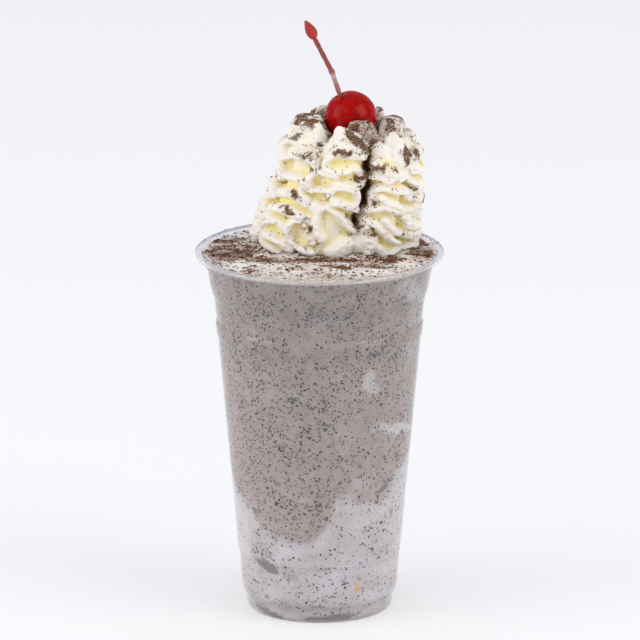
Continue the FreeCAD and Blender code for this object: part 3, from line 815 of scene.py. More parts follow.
# %% Cream: ribbons on the front
# Each ribbon: its half width, and the points (to the right of the front, height) that it passes.
# The points are a table that another script worked out, and they don't follow the sizes above.
FRONT_RIBBONS = [
    (3.60, [(-0.7, 191.6), (3.7, 189.9), (6.2, 189)]),
    (1.30, [(0.7, 193.6), (5.7, 192.1), (7.5, 190.7), (12.7, 187.9), (6.2, 186.9), (3, 187.2),
            (0.5, 188.2)]),
    (1.55, [(7.2, 185.7), (3.2, 186.3), (-2, 187.2), (-6.2, 185.7), (-8.4, 183.9), (-7.2, 181.6),
            (-2.5, 180.9), (2, 181.6)]),
    (1.50, [(2.7, 182.4), (5.2, 181.6), (7.2, 179), (7, 176.2), (4, 174.9), (0.5, 175.3),
            (-3.2, 176.2)]),
    (1.60, [(-2.2, 179.2), (-7.2, 179.9), (-13.7, 179.2), (-15.3, 176.6), (-14.6, 173.8),
            (-12.2, 172.4), (-4.7, 173), (-1.2, 174.3)]),
    (1.55, [(-1.5, 173.8), (2.5, 174.1), (5.2, 172.6), (6.7, 169.5), (5.2, 167.2), (1.5, 168),
            (-2.2, 169.3)]),
    (1.00, [(-1.5, 172.8), (-4.2, 171.1), (-6.4, 168.7)]),
    (1.70, [(-1.5, 168.3), (2.2, 167.6), (6.2, 165.9), (13.7, 162), (14.4, 159), (10, 156.5),
            (7, 158), (3.2, 161.2), (-0.2, 164.2), (-3, 165.9), (-4.9, 165.3), (-5.7, 162.7),
            (-4.9, 159.2), (-3.5, 155.8), (-1, 153.2)]),
    (4.20, [(4.5, 147.4), (7.7, 149.1), (15.4, 150.5), (16.9, 151.6)]),
    (1.40, [(12.9, 152.7), (14.9, 155.4), (16.6, 157.4)]),
    (2.20, [(-26.2, 185.8), (-19.7, 185.4), (-15.1, 183.7), (-12.9, 180.9)]),
    (2.00, [(-38.3, 173), (-27.1, 175.2), (-20, 175.7), (-15.8, 174.1)]),
    (2.10, [(-37.2, 164.8), (-25.5, 168.5), (-18.8, 168.7), (-13.9, 167), (-6.4, 164.6)]),
    (2.00, [(-36, 157.7), (-24.8, 162.2), (-19.3, 162.9), (-14.6, 161.8), (-6.7, 160.1)]),
    (1.50, [(-17, 172.2), (-15.1, 169.3), (-9.3, 165.5), (-6.2, 163.8)]),
    (1.60, [(-15.8, 151.5), (-16.3, 154.6), (-16.3, 157.8), (-14.4, 160), (-9.3, 158.2),
            (-6.9, 155.6), (-4.5, 151.9)]),
    (1.40, [(-15.1, 151.5), (-12.9, 149.3), (-7.2, 147.9), (-3.7, 147.2)]),
    (1.70, [(-34, 151.3), (-24.8, 156.4), (-20.4, 158), (-17.7, 156.7)]),
    (1.70, [(-26.6, 151.5), (-20.9, 151.3), (-17, 149.2), (-14.1, 146.9)]),
    (1.90, [(-38, 145.5), (-35.7, 149.2), (-32.5, 147.8), (-22.1, 147.1), (-18.6, 145.5)]),
    (1.50, [(-36.2, 154), (-34.7, 156.8), (-23.7, 158.5)]),
    (1.50, [(-38.8, 184.5), (-35.4, 188.3), (-23.4, 190.7), (-20, 188.8)]),
    (1.50, [(-37.5, 181.7), (-24.4, 185.9), (-19.1, 186.6)]),
    (1.60, [(14.9, 183.1), (18.6, 180.1), (23.2, 178.9), (31.7, 177.7), (37, 180.4),
            (37.5, 184.5), (39.4, 187.9)]),
    (1.70, [(7, 177.7), (10.5, 178.7), (17.4, 177.8), (20, 176.1), (21.7, 177.2),
            (24.2, 178.9)]),
    (1.50, [(25.1, 176.3), (34.2, 175.5), (36.2, 174.2), (39.1, 172.4), (45.4, 171.7)]),
    (1.60, [(16.6, 166.7), (15.6, 169.5), (15.9, 172.3), (18.6, 173.2), (22.2, 172.3),
            (34.4, 169.6), (36.7, 167.2), (55.8, 159.1), (31.7, 163), (24.4, 166.3), (20.8, 167.7),
            (18.3, 169.6)]),
    (1.70, [(10, 164.7), (17.1, 165), (20.8, 165.6), (25.4, 163.9), (36, 159.5), (38.3, 156.4),
            (55, 147.9), (30, 153.7), (24.6, 156.8), (22, 160.2)]),
    (1.70, [(15.1, 159.8), (18.1, 159.1), (21.5, 155.6), (25.1, 152.2), (30, 148.6),
            (35.7, 145.5), (27.3, 145.5), (23.4, 145.7), (21, 148.6)]),
    (1.60, [(18.3, 153.3), (19.3, 149.9), (18.3, 146.6)]),
    (1.60, [(36.5, 150.8), (39.6, 148.7), (43, 145.5), (40.2, 145.5), (37, 145.5)]),
    (1.50, [(38.3, 170.2), (41.3, 167.3), (46.7, 161.9), (39.4, 162.8)]),
    (1.70, [(38.8, 160), (45.1, 157), (45.1, 153.2), (44.2, 150), (38.6, 151.1)]),
]


print("ribbons on the front:", len(FRONT_RIBBONS))

# %% [markdown]
# The sides and the back have no ribbons in the table.  A rule lays one to and fro up each lobe, a fold
# at a time, with a little chance in its width and height.  Then a smooth line is drawn through each
# ribbon's points, and every place on the mound is asked how near it is to one of those lines.

# %% Cream: ribbons by rule, and their relief
RIBBON_SWELL = 1.1         # a ribbon is this much wider than its half width says, so that folds touch


def lobe_ribbon(lobe_number, bottom, top, pitch, width, seed):
    """A ribbon laid to and fro up one lobe, as a list of (along, height) points."""
    random = np.random.default_rng(seed)
    centre = along_of(lobe_number)
    points = []
    level, way = bottom, 1
    while level < top:
        reach = width * random.uniform(0.8, 1.15)
        points += [(centre - way * reach * 0.4, level + random.uniform(-0.4, 0.4)),
                   (centre + way * reach * 0.6, level + random.uniform(-0.4, 0.4)),
                   (centre + way * reach, level + pitch * 0.3),
                   (centre + way * reach * 0.75, level + pitch * 0.6)]
        level += pitch * random.uniform(0.85, 1.15)
        way = -way
    return points


fine_columns = np.linspace(-4, 4, 1601)
ring = outward(fine_columns) * 30           # a ring about as wide as the mound
ring_steps = np.linalg.norm(np.diff(ring, axis=0), axis=1)
ring_along = np.concatenate([[0], np.cumsum(ring_steps)])
ring_along -= ring_along[len(fine_columns) // 2]


def along_of(value):
    """Millimetres round the mound from the front, for columns counted in lobes."""
    return np.interp(value, fine_columns, ring_along)


def rounded(points, pieces=5):
    """A smooth line through points, by Catmull-Rom."""
    points = np.array(points, dtype=float)
    ends = np.vstack([2 * points[0] - points[1], points, 2 * points[-1] - points[-2]])
    line = []
    for a, b, c, d in zip(ends[:-3], ends[1:-2], ends[2:-1], ends[3:]):
        for t in np.arange(pieces) / pieces:
            line.append(0.5 * (2 * b + (c - a) * t + (2 * a - 5 * b + 4 * c - d) * t * t
                               + (3 * b - a - 3 * c + d) * t ** 3))
    return np.array(line + [points[-1]])


def ribbon_relief(along, heights, ribbons):
    """How far the ribbons stand out, from 0 on the core to 1 on their backs, at places on the mound."""
    relief = np.zeros_like(heights)
    for radius, points in ribbons:
        radius *= RIBBON_SWELL
        line = rounded(points)
        for (x0, z0), (x1, z1) in zip(line[:-1], line[1:]):
            near = ((along > min(x0, x1) - radius) & (along < max(x0, x1) + radius)
                    & (heights > min(z0, z1) - radius) & (heights < max(z0, z1) + radius))
            if not near.any():
                continue
            dx, dz = x1 - x0, z1 - z0
            px, pz = along[near] - x0, heights[near] - z0
            t = ((px * dx + pz * dz) / max(dx * dx + dz * dz, 1e-9)).clip(0, 1)
            gone = ((px - t * dx) ** 2 + (pz - t * dz) ** 2) / radius ** 2
            relief[near] = np.maximum(relief[near], (1 - gone).clip(0) ** 0.5)
    return relief


side_ribbons = [(2.1, lobe_ribbon(lobe_number, 148.0, 186.0, pitch, 7.5, 40 + lobe_number))
                for lobe_number, pitch in ((-2, 4.2), (-3, 5.0), (2, 5.6), (3, 5.0), (4, 5.4))]
print("ribbons on the sides and back:", len(side_ribbons))

# %% [markdown]
# Now the core is pushed out along its own normals wherever a ribbon lies.  The ribbons' lines waver, so
# that none looks drawn with a ruler, each fold sags a little under its weight, and fine noise frills
# their backs, as the teeth of the nozzle do.

# %% Cream: the grid with its ribbons
along = along_of(column)[None, :] + 0 * outside[..., 2]
place = np.stack([along, 0 * along, outside[..., 2]], axis=-1)
waver_along = along + 0.7 * noise(place, 6, 61)
waver_up = outside[..., 2] + 0.6 * noise(place, 6, 62)
whole = along_of(4) - along_of(-4)
relief = np.zeros_like(along)
for shift in (-whole, 0, whole):
    relief = np.maximum(relief, ribbon_relief(waver_along + shift, waver_up, FRONT_RIBBONS + side_ribbons))


def blurred(rows, wide):
    """Each point moved to the mean of its neighbours on the grid, again and again."""
    for _ in range(wide):
        rows = (rows + np.roll(rows, 1, axis=1) + np.roll(rows, -1, axis=1)) / 3
        rows = np.concatenate([rows[:1], (rows[:-2] + rows[1:-1] + rows[2:]) / 3, rows[-1:]])
    return rows


def grid_normals(rows):
    """Unit normals of a closed grid of rings, pointing outward."""
    around = np.roll(rows, -1, axis=1) - np.roll(rows, 1, axis=1)
    upward = np.gradient(rows, axis=0)
    normal = np.cross(around, upward)
    return normal / np.maximum(np.linalg.norm(normal, axis=-1, keepdims=True), 1e-9)


relief = blurred(relief, 1)
facing = grid_normals(blurred(outside, 10))
standing = RIDGE * relief * (1 + 0.25 * noise(place, 7, 66))
outside = outside + facing * standing[..., None]
outside[..., 2] -= 0.30 * standing * ease((outside[..., 2] - 148) / 4)
outside = kept_in_mouth(outside)
frill = 0.34 * noise(outside, 1.2, 71) * ease((relief - 0.6) / 0.3) + 0.15 * rough(outside, 3.0, 2, 74)
outside = outside + facing * (frill * ease((outside[..., 2] - 145.5) / 2))[..., None]
foot = outside[0] * (1, 1, 0)
cream_rows = np.concatenate([np.array([foot + UP * (DRINK_LEVEL - 2.2), foot + UP * DRINK_LEVEL]),
                             outside, down, nest])
cream_normal = grid_normals(blurred(cream_rows, 2))
print("cream grid:", cream_rows.shape, "top", round(cream_rows[..., 2].max(), 1))

# %% [markdown]
# Where cream is folded in, light bounces about inside the fold and comes out warm and yellow, and where
# it faces up it catches cocoa.  Both are worked out from the shape itself.  A blurred copy of the grid
# lies outside the real surface in every hollow, and how far outside is how hollow the place is.

# %% Cream: hollows
inner_rows = len(cream_rows) - len(relief) - 2      # the rows on the nest's side of the tips
relief_rows = np.concatenate([relief[:1], relief[:1], relief, np.ones((inner_rows, CREAM_COLUMNS))])
around_relief = blurred(relief_rows, 50)
hollow_near = ((blurred(cream_rows, 8) - cream_rows) * cream_normal).sum(axis=-1)
cavity = np.clip((around_relief - relief_rows) * 1.6 + hollow_near / 1.6, 0, 1)
cavity = blurred(cavity, 3)
print("share of the cream in hollows:", round(float((cavity > 0.5).mean()), 2))

# %% [markdown]
# Cocoa was shaken over the cream from above.  On the front its drifts are listed one by one.  Round the
# back noise throws them, and everywhere the tips, the nest's rim and the deep clefts hold more of it.

# %% Cream: cocoa, and the mesh
facing_up = grid_normals(cream_rows)[..., 2]
cream_height = cream_rows[..., 2]
high = ease((cream_height - 180) / 16)
along_rows = np.concatenate([along[:1], along[:1], along, np.repeat(along[:1], inner_rows, 0)])
# Drifts of cocoa: place to the right of the front, height, half sizes, slope in degrees, strength.
# Another script worked out these places too.
DRIFTS = [
    (1.4, 187.6, 7.2, 1.3, -4, 1.0), (-15.0, 182.5, 4.8, 3.2, -35, 0.9),
    (17.8, 181.1, 8.0, 1.4, -4, 1.0), (8.7, 175.4, 2.8, 5.2, 70, 1.0),
    (-34.9, 171.8, 2.8, 2.4, -40, 0.6), (-18.7, 168.9, 3.6, 1.6, -30, 0.9),
    (-18.9, 162.7, 3.2, 2.0, -30, 1.0), (-9.1, 157.7, 2.8, 3.2, -60, 0.9),
    (18.9, 154.6, 5.2, 2.0, -30, 0.8), (-3.3, 150.7, 4.0, 2.0, 0, 0.7),
    (-13.1, 187.3, 4.0, 2.4, -45, 0.8), (-56.3, 178.9, 2.4, 1.2, 0, 0.2),
    (38.5, 183.7, 4.8, 2.8, -45, 0.9), (27.3, 182.2, 3.2, 1.6, -30, 0.7),
    (4.7, 192.6, 5.6, 1.6, -50, 0.8), (7.3, 160.8, 2.4, 1.6, -30, 0.8),
    (3.1, 166.2, 3.2, 1.2, -20, 0.6), (36.7, 151.7, 4.8, 1.6, -20, 0.8),
    (36.1, 170.7, 2.8, 1.2, -20, 0.6), (15.0, 167.6, 2.4, 3.2, 60, 0.8),
    (-17.1, 174.3, 2.0, 1.6, 30, 0.5), (6.4, 178.9, 1.6, 2.8, 70, 0.6),
    (38.5, 167.0, 2.4, 2.0, -50, 0.5), (40.9, 159.2, 2.0, 2.4, -50, 0.5),
    (21.0, 179.6, 4.0, 1.2, 0, 0.7), (-13.7, 151.8, 3.2, 1.2, -20, 0.5),
    (-5.8, 168.8, 2.0, 1.2, 40, 0.5), (22.1, 150.1, 2.4, 1.2, -30, 0.5),
]
wander = 1.0 * noise(cream_rows, 4, 121) + 1.4 * rough(cream_rows, 1.8, 3, 122)
drifts = patch_mask(along_rows + wander, cream_height - wander, DRIFTS, 1.1)
uneven = 0.80 + 0.9 * rough(cream_rows, 2.4, 3, 125)
drifts = np.clip(drifts * uneven * (0.55 + 0.7 * ease(facing_up + 0.5)), 0, 1)
elsewhere = np.abs(along_rows) > 42
scattered_drifts = ease(rough(cream_rows, 6, 3, 123) * 1.8 - 0.7) * np.where(elsewhere, 0.9, 0.15)
on_tips = ease(facing_up * 1.6 - 0.4) * high * ease(rough(cream_rows, 5, 3, 81) * 1.6 + 0.45)
inner_tip = hump(column, INNER_TIP_AT, 0.26)[None, :] * ease((cream_height - 186) / 4)
inside_ring = np.linalg.norm((cream_rows - CHERRY_CENTRE)[..., :2], axis=-1) < 15.5
inside_ring = inside_ring * ease((cream_height - 186) / 3)
cleft = hump(column, 0.5, 0.15)[None, :] * ease((cream_height - 150) / 8)
cleft = cleft * ease((191 - cream_height) / 4)
left_cleft = hump(column, 7.5, 0.14)[None, :] * ease((cream_height - 174) / 8)
dusting = np.clip(drifts + scattered_drifts + on_tips + 0.8 * inner_tip + 0.5 * inside_ring, 0, 1)
dusting = np.clip(dusting + 0.9 * left_cleft * ease((193 - cream_height) / 4) + 0.7 * cleft, 0, 1)
foot_shade = 1 - ease((cream_height - 145) / 6)
# Less painted bounce light on the tips.
less_bounce_on_tips = 1 - 0.7 * ease((cream_height - 182) / 6)
print("share of the cream under cocoa:", round(float((dusting > 0.5).mean()), 2))
cream_mesh = ring_mesh("whipped_cream", cream_rows,
                       {"cavity": cavity * less_bounce_on_tips, "dusting": dusting, "filled": cleft,
                        "foot": foot_shade},
                       first_pole=(CREAM_X, CREAM_Y, cream_rows[0, 0, 2]),
                       last_pole=tuple(CHERRY_CENTRE - UP * (CHERRY_RADIUS + NEST_GAP)))

# %% [markdown]
# Whipped cream is matt and slightly see-through, so light travels a little way under its skin before it
# comes out.  A small subsurface share gives that softness, and more of it would wash the folds out.
# Painted bounce light turns the hollows from warm white to butter yellow, and cocoa lies over both.

# %% Cream: material
CREAM_CREST = (0.850, 0.798, 0.732)
# Painted bounce light: the colour that the hollows are mixed toward.
CREAM_BOUNCE_LIGHT = (0.960, 0.800, 0.240)
CREAM_FOOT_SHADE = (0.56, 0.52, 0.50)        # painted shade at the cream's foot, out of the direct light
COCOA = (0.060, 0.018, 0.005)


def cream_material():
    """Folded cream, with painted bounce light in its hollows, painted shade at its foot, and cocoa."""
    material, nodes, join = new_material("whipped_cream")
    vector = coordinates_in_mm(nodes, join)
    body = mixed(nodes, join, attribute(nodes, "cavity"), CREAM_CREST, CREAM_BOUNCE_LIGHT)
    # Painted shade greys the cream's foot.
    body = mixed(nodes, join, multiplied(nodes, join, attribute(nodes, "foot"), 0.45), body, CREAM_FOOT_SHADE)
    body = cocoa_over(nodes, join, vector, body, attribute(nodes, "dusting"), pile=0.275, veil=0.36,
                      streaks=True, dark=(0.045, 0.011, 0.001), light=(0.200, 0.072, 0.016))
    deep = grey_ramp(nodes, join, attribute(nodes, "filled"), 0.2, 0.8, 0.0, 0.9)
    body = mixed(nodes, join, deep, body, COCOA)
    shader = principled(nodes, Roughness=0.52, Subsurface_Weight=0.15, Subsurface_Scale=0.002,
                        Specular_IOR_Level=0.03)
    shader.inputs["Subsurface Radius"].default_value = (1.0, 0.8, 0.5)
    join(body, shader.inputs["Base Color"])
    soft = noise_node(nodes, join, vector, 1.2, 3.0, 0.6)
    join(bumped(nodes, join, soft, 0.25, 0.0006), shader.inputs["Normal"])
    finish_material(nodes, join, shader)
    return material


cream_look = cream_material()
add_piece("whipped_cream", cream_mesh, cream_look, "whipped_cream")

# %% [markdown]
# The nozzle ends each lobe with a soft dollop that folds over on itself.  A stack of rings that climbs
# the whole mound has no good way to overhang there, so the dollops are their own rounded blobs, pressed
# into the tips.  Each leans to the side its tail was pulled to.

# %% Cream: dollops on the tips
DOLLOP_RINGS, DOLLOP_COLUMNS = 58, 96
# Centre, half sizes, lean of the top to the right, narrowing to the top, boxiness, and how much cocoa
# lies on top, on the right side, and all over.
DOLLOPS = [
    ((16.6, -4.6, 190.4), (7.2, 3.2, 7.6), 0.0, 0.15, 0.70, 1.0, 1.0, 1.0),
    ((10.4, -8.4, 190.2), (5.6, 4.8, 6.6), -2.4, 0.40, 0.95, 0.15, 0.12, 0.0),
    ((-4.4, 5.5, 190.2), (7.4, 7.4, 7.6), 0.4, 0.10, 0.50, 1.0, 1.0, 0.0),
    ((26.8, -3.4, 184.6), (10.0, 6.0, 8.6), 2.2, 0.60, 0.85, 0.3, 1.0, 0.0),
    ((27.8, 8.0, 191.8), (6.8, 6.5, 5.4), 0.5, 0.25, 0.70, 1.0, 0.9, 0.80),
    ((23.0, 17.0, 194.0), (2.4, 3.0, 4.0), 0.0, 0.2, 0.9, 1.0, 0.5, 0.5),
    ((2.0, 19.5, 190.0), (6.5, 5.0, 7.0), -1.0, 0.25, 0.75, 0.9, 0.3, 0.0),
    ((15.5, 22.0, 189.5), (6.5, 4.6, 7.0), 1.0, 0.25, 0.8, 0.9, 0.3, 0.0),
]


def dollop(centre, half, lean, narrowing, boxiness, top_cocoa, side_cocoa, all_over, seed):
    """Points, faces and cocoa of one rounded blob of cream."""
    polar = np.linspace(0, math.pi, DOLLOP_RINGS)[1:-1, None]
    turn = np.arange(DOLLOP_COLUMNS)[None, :] * 2 * math.pi / DOLLOP_COLUMNS

    def boxed(value):
        return np.sign(value) * np.abs(value) ** boxiness

    ball = np.stack([boxed(np.sin(polar)) * boxed(np.cos(turn)), boxed(np.sin(polar)) * boxed(np.sin(turn)),
                     -boxed(np.cos(polar)) + 0 * turn], axis=-1)
    up = ease((ball[..., 2] + 1) / 2)
    rows = ball * half
    rows[..., :2] *= (1 - narrowing * up)[..., None]
    rows[..., 0] += lean * up
    rows = rows + centre
    swell = (0.9 * noise(rows, 6.0, 300 + seed) + 0.45 * noise(rows * (1, 1, 1.8), 3.2, 310 + seed)
             + 0.20 * rough(rows, 1.6, 3, 320 + seed))
    rows = rows + grid_normals(rows) * swell[..., None]
    points, faces = ring_faces(rows, rows[0].mean(axis=0), rows[-1].mean(axis=0))
    normal = np.vstack([grid_normals(rows).reshape(-1, 3), -UP, UP])
    patchy = np.maximum(ease(rough(points, 3.5, 3, 340 + seed) * 1.5 + 0.6), 0.72 * all_over)
    cocoa = np.maximum(top_cocoa * ease(normal[:, 2] * 1.5 + 0.05),
                       side_cocoa * ease(normal[:, 0] * 1.5 - 0.1))
    return points, faces, np.clip(np.maximum(cocoa, all_over) * patchy, 0, 1)


dollop_points, dollop_faces, dollop_cocoa = [], [], []
for seed, (centre, *sizes) in enumerate(DOLLOPS):
    points, faces, cocoa = dollop(np.array(centre), *sizes, seed)
    offset = sum(len(block) for block in dollop_points)
    dollop_faces += [[corner + offset for corner in face] for face in faces]
    dollop_points.append(points)
    dollop_cocoa.append(cocoa)
dollop_points, dollop_cocoa = np.vstack(dollop_points), np.concatenate(dollop_cocoa)
nothing = 0 * dollop_cocoa
dollop_mesh = painted_mesh("cream_dollops", dollop_points, dollop_faces,
                           {"cavity": nothing, "dusting": dollop_cocoa, "filled": nothing, "foot": nothing})
add_piece("cream_dollops", dollop_mesh, cream_look)

# %% [markdown]
# ## The foam
#
# The shake's top is a thin uneven foam.  It climbs a little at the wall, as every liquid does, rises to
# the cream, and is stained by cocoa that has slid down round the cream's foot.

# %% Foam: its surface
FOAM_CROWN = 1.7           # how far its middle stands above the drink's level
FOAM_RINGS = 90


def cream_gap(points):
    """Distance in millimetres from the foot of the cream, roughly, at points on the drink's top."""
    foot = cream_rows[1]
    angle = np.arctan2(foot[:, 1] - CREAM_Y, foot[:, 0] - CREAM_X)
    reach = np.hypot(foot[:, 0] - CREAM_X, foot[:, 1] - CREAM_Y)
    order = np.argsort(angle)
    here = np.arctan2(points[..., 1] - CREAM_Y, points[..., 0] - CREAM_X)
    edge = np.interp(here, angle[order], reach[order], period=2 * math.pi)
    return np.hypot(points[..., 0] - CREAM_X, points[..., 1] - CREAM_Y) - edge


foam_side = drink_line(DRINK_LEVEL - 0.15)
foam_side = foam_side[foam_side[:, 1] > DRINK_LEVEL - 1.8]
wall_radius = foam_side[-1, 0]
inward = np.linspace(1, 0, FOAM_RINGS)[1:-1]
foam_top = np.stack([wall_radius * inward, np.full(len(inward), DRINK_LEVEL)], axis=1)
foam_rows = turned_rows(np.vstack([foam_side, foam_top]), DRINK_COLUMNS)
reach = np.hypot(foam_rows[..., 0], foam_rows[..., 1])
on_top = ease((wall_radius - reach) / 1.5)
relief = 0.55 * rough(foam_rows, 7, 3, 91) + 0.35 * np.abs(noise(foam_rows, 2.6, 95))
crown = FOAM_CROWN * (1 - (reach / wall_radius) ** 3)
climb = 0.5 * hump(wall_radius - reach, 0.8, 1.2)
gap = cream_gap(foam_rows)
heap = 0.9 * hump(gap, 0.8, 1.6) * (0.6 + 0.4 * noise(foam_rows, 5, 97))
foam_rows[..., 2] += (crown + relief + climb + heap) * on_top
print("foam grid:", foam_rows.shape, "top", round(foam_rows[..., 2].max(), 1))

# %% [markdown]
# Seen from above, the foam is a map: drifts of wet cocoa, and patches where the bubbles are still white.
# They are painted on its points in the same way as the patches on the drink's side, and the white ones
# are also lumpier, because that foam hasn't sunk yet.

# %% Foam: cocoa, white patches and mesh
# Places seen from above: right, back, half sizes, slope in degrees, strength.
COCOA_DRIFTS = [
    (-35, -2, 11, 12, 0, 0.9), (-22, -15, 13, 4.5, -25, 0.9), (3, -18.5, 24, 4.0, 0, 1.0),
    (26, -14, 9, 4.5, 20, 0.9), (39, 0, 5, 9, 0, 1.0), (40, 14, 4, 8, 0, 0.9), (8, -27, 5, 2.6, 0, 0.9),
    (-8, -28, 3.5, 2.4, 0, 0.8), (22, -24, 10, 2.6, 10, 0.7), (-36, 14, 9, 7, 0, 0.7),
    (-24, 33, 15, 6, -30, 0.6), (2, -35, 20, 2.2, 0, 0.5), (-26, -30, 6, 2.5, 30, 0.5),
    (-40, -18, 4, 3, 0, 0.6), (30, 30, 10, 4, -40, 0.7), (0, 42, 14, 3, 0, 0.6),
]
WHITE_FOAM = [
    (-27, -24, 13, 6, -20, 1.0), (-12, -31, 10, 5, 0, 0.9), (18, -31, 15, 5, 10, 0.8),
    (-38, -12, 4, 7, 0, 0.6), (33, -20, 7, 5, 0, 0.7), (-20, -8, 5, 3, 0, 0.5), (-30, 28, 9, 5, 0, 0.6),
]
foam_warp = 2.2 * rough(foam_rows, 7, 3, 101)
foam_x, foam_y = foam_rows[..., 0] + foam_warp, foam_rows[..., 1] - foam_warp
chunks = np.abs(rough(foam_rows, 3.4, 3, 106))
near_cream = hump(gap, 0.4, 2.2)
cocoa = np.clip(np.maximum(patch_mask(foam_x, foam_y, COCOA_DRIFTS, 0.9), near_cream * 0.9)
                + 0.25 * rough(foam_rows, 4, 3, 104), 0, 1) * on_top
white_foam = patch_mask(foam_x, foam_y, WHITE_FOAM, 0.9) * on_top
foam_rows[..., 2] += 1.1 * (0.3 + 0.7 * white_foam) * chunks * on_top * ease(4 - gap)
foam_mesh = ring_mesh("shake_foam", foam_rows, {"cocoa": cocoa, "white": white_foam},
                      first_pole=(0, 0, foam_rows[0, 0, 2]), last_pole=(0, 0, DRINK_LEVEL + FOAM_CROWN))

# %% [markdown]
# Foam is the shake with air in it, so it is the same colour, only paler, and the white patches break up
# in the noise.  Small dark flecks stand for the burst bubbles.

# %% Foam: material
FOAM_DARK, FOAM_PALE = (0.54, 0.45, 0.41), (0.80, 0.74, 0.70)
FOAM_WHITE, FOAM_BUBBLE = (0.84, 0.80, 0.77), (0.16, 0.11, 0.09)


def foam_material():
    """Foam in two tones, whiter and browner where the painted values say so."""
    material, nodes, join = new_material("foam")
    vector = coordinates_in_mm(nodes, join)
    cloudy = grey_ramp(nodes, join, noise_node(nodes, join, vector, 0.30, 5.0, 0.7), 0.38, 0.64)
    body = mixed(nodes, join, cloudy, FOAM_DARK, FOAM_PALE)
    puffy = grey_ramp(nodes, join, noise_node(nodes, join, vector, 0.55, 4.0, 0.65), 0.36, 0.52)
    body = mixed(nodes, join, multiplied(nodes, join, puffy, attribute(nodes, "white")), body, FOAM_WHITE)
    body = cocoa_over(nodes, join, vector, body, attribute(nodes, "cocoa"))
    bubbles = flecks(nodes, join, vector, 1.3, 0.20, 0.12)
    body = mixed(nodes, join, multiplied(nodes, join, bubbles, 0.25), body, FOAM_BUBBLE)
    shader = principled(nodes, Roughness=0.45, Subsurface_Weight=0.2, Subsurface_Scale=0.002)
    join(body, shader.inputs["Base Color"])
    finish_material(nodes, join, shader)
    return material


add_piece("shake_foam", foam_mesh, foam_material())

# %% [markdown]
# ## The cherry and its stem
#
# A cocktail cherry is a slightly uneven ball with a dimple round its stem, and it is wet, so it is made
# of two layers: a deep red body and a clear glossy coat.  Its stem is a thin woody rod with a knot, and
# it ends in a swollen, ridged bud.  Both are stacks of rings, the cherry's turned over to its lean.

# %% Cherry: mesh
CHERRY_LEAN, DIMPLE_RADIUS, DIMPLE_DEPTH = 27.0, 3.6, 1.7


def leaning(degrees):
    """The direction that leans from upright to the left by an angle."""
    return np.array([-math.sin(math.radians(degrees)), 0.0, math.cos(math.radians(degrees))])


def turned_over(points, degrees):
    """Points turned about the Y axis so that +Z leans to the left by an angle."""
    turn = math.radians(degrees)
    across, deep = np.array([math.cos(turn), 0, math.sin(turn)]), np.array([0.0, 1, 0])
    return points[..., :1] * across + points[..., 1:2] * deep + points[..., 2:] * leaning(degrees)


CHERRY_RINGS, CHERRY_COLUMNS = 97, 128
polar = np.linspace(0, math.pi, CHERRY_RINGS)[1:-1]
from_top = math.pi - polar
from_axis = np.sin(from_top.clip(0, math.pi / 2)) * CHERRY_RADIUS
dimple = DIMPLE_DEPTH * np.exp(-(from_axis / (DIMPLE_RADIUS * 0.62)) ** 2)
radius = CHERRY_RADIUS - np.where(from_top < math.pi / 2, dimple, 0)
cherry_profile = np.stack([radius * np.sin(polar), -radius * np.cos(polar)], axis=1)
cherry_rows = turned_rows(cherry_profile, CHERRY_COLUMNS)
lumps = 0.10 * noise(cherry_rows, 7, 111) + 0.03 * noise(cherry_rows, 2.5, 112) - 0.05
cherry_rows *= (1 + lumps / CHERRY_RADIUS)[..., None]
cherry_rows = turned_over(cherry_rows, CHERRY_LEAN) + CHERRY_CENTRE
pole = leaning(CHERRY_LEAN)
cherry_mesh = ring_mesh("cherry", cherry_rows,
                        first_pole=tuple(CHERRY_CENTRE - pole * (CHERRY_RADIUS - 0.05)),
                        last_pole=tuple(CHERRY_CENTRE + pole * (CHERRY_RADIUS - DIMPLE_DEPTH - 0.02)))
print("cherry grid:", cherry_rows.shape)

# %% [markdown]
# The syrup is a coat with its own bumps, coarser and stronger than those of the skin below, so that the
# lamps' reflections in it are torn a little and run, as on a thing that is dripping wet.

# %% Cherry: material
CHERRY_DEEP, CHERRY_BRIGHT = (0.280, 0.0003, 0.0002), (0.395, 0.0012, 0.0006)


def cherry_material():
    """A deep red body under a clear wet coat."""
    material, nodes, join = new_material("wet_cherry")
    vector = coordinates_in_mm(nodes, join)
    mottle = grey_ramp(nodes, join, noise_node(nodes, join, vector, 0.3, 4.0, 0.6), 0.35, 0.65)
    body = mixed(nodes, join, mottle, CHERRY_DEEP, CHERRY_BRIGHT)
    shader = principled(nodes, Roughness=0.6, Specular_IOR_Level=0.0, Coat_Weight=0.55,
                        Coat_Roughness=0.04, Coat_IOR=1.34)
    join(body, shader.inputs["Base Color"])
    soft = noise_node(nodes, join, vector, 0.9, 2.0, 0.5)
    join(bumped(nodes, join, soft, 0.12, 0.0006), shader.inputs["Normal"])
    wet = noise_node(nodes, join, vector, 0.8, 2.0, 0.5)
    join(bumped(nodes, join, wet, 0.4, 0.0004), shader.inputs["Coat Normal"])
    finish_material(nodes, join, shader)
    return material


add_piece("cherry", cherry_mesh, cherry_material(), "cherry")

# %% [markdown]
# The stem leaves the dimple, bends at its knot and ends in the bud, where it once joined the branch.  A
# curve object with a bevel could make it too, but with rings along a line the thickness can be a plain
# function of the distance, and so can the five ridges of the bud.

# %% Stem: mesh
STEM_ROOT, STEM_RADIUS, STEM_COLUMNS = 1.8, 1.0, 40
LOWER_STEM, LOWER_LEAN, UPPER_STEM, UPPER_LEAN = 11.0, 18.5, 15.0, 27.0
KNOT_RADIUS, BUD_LENGTH, BUD_RADIUS = 1.35, 7.96, 2.4
RING_LEAN = math.radians(23)           # between the two leans, so that the rings suit both parts

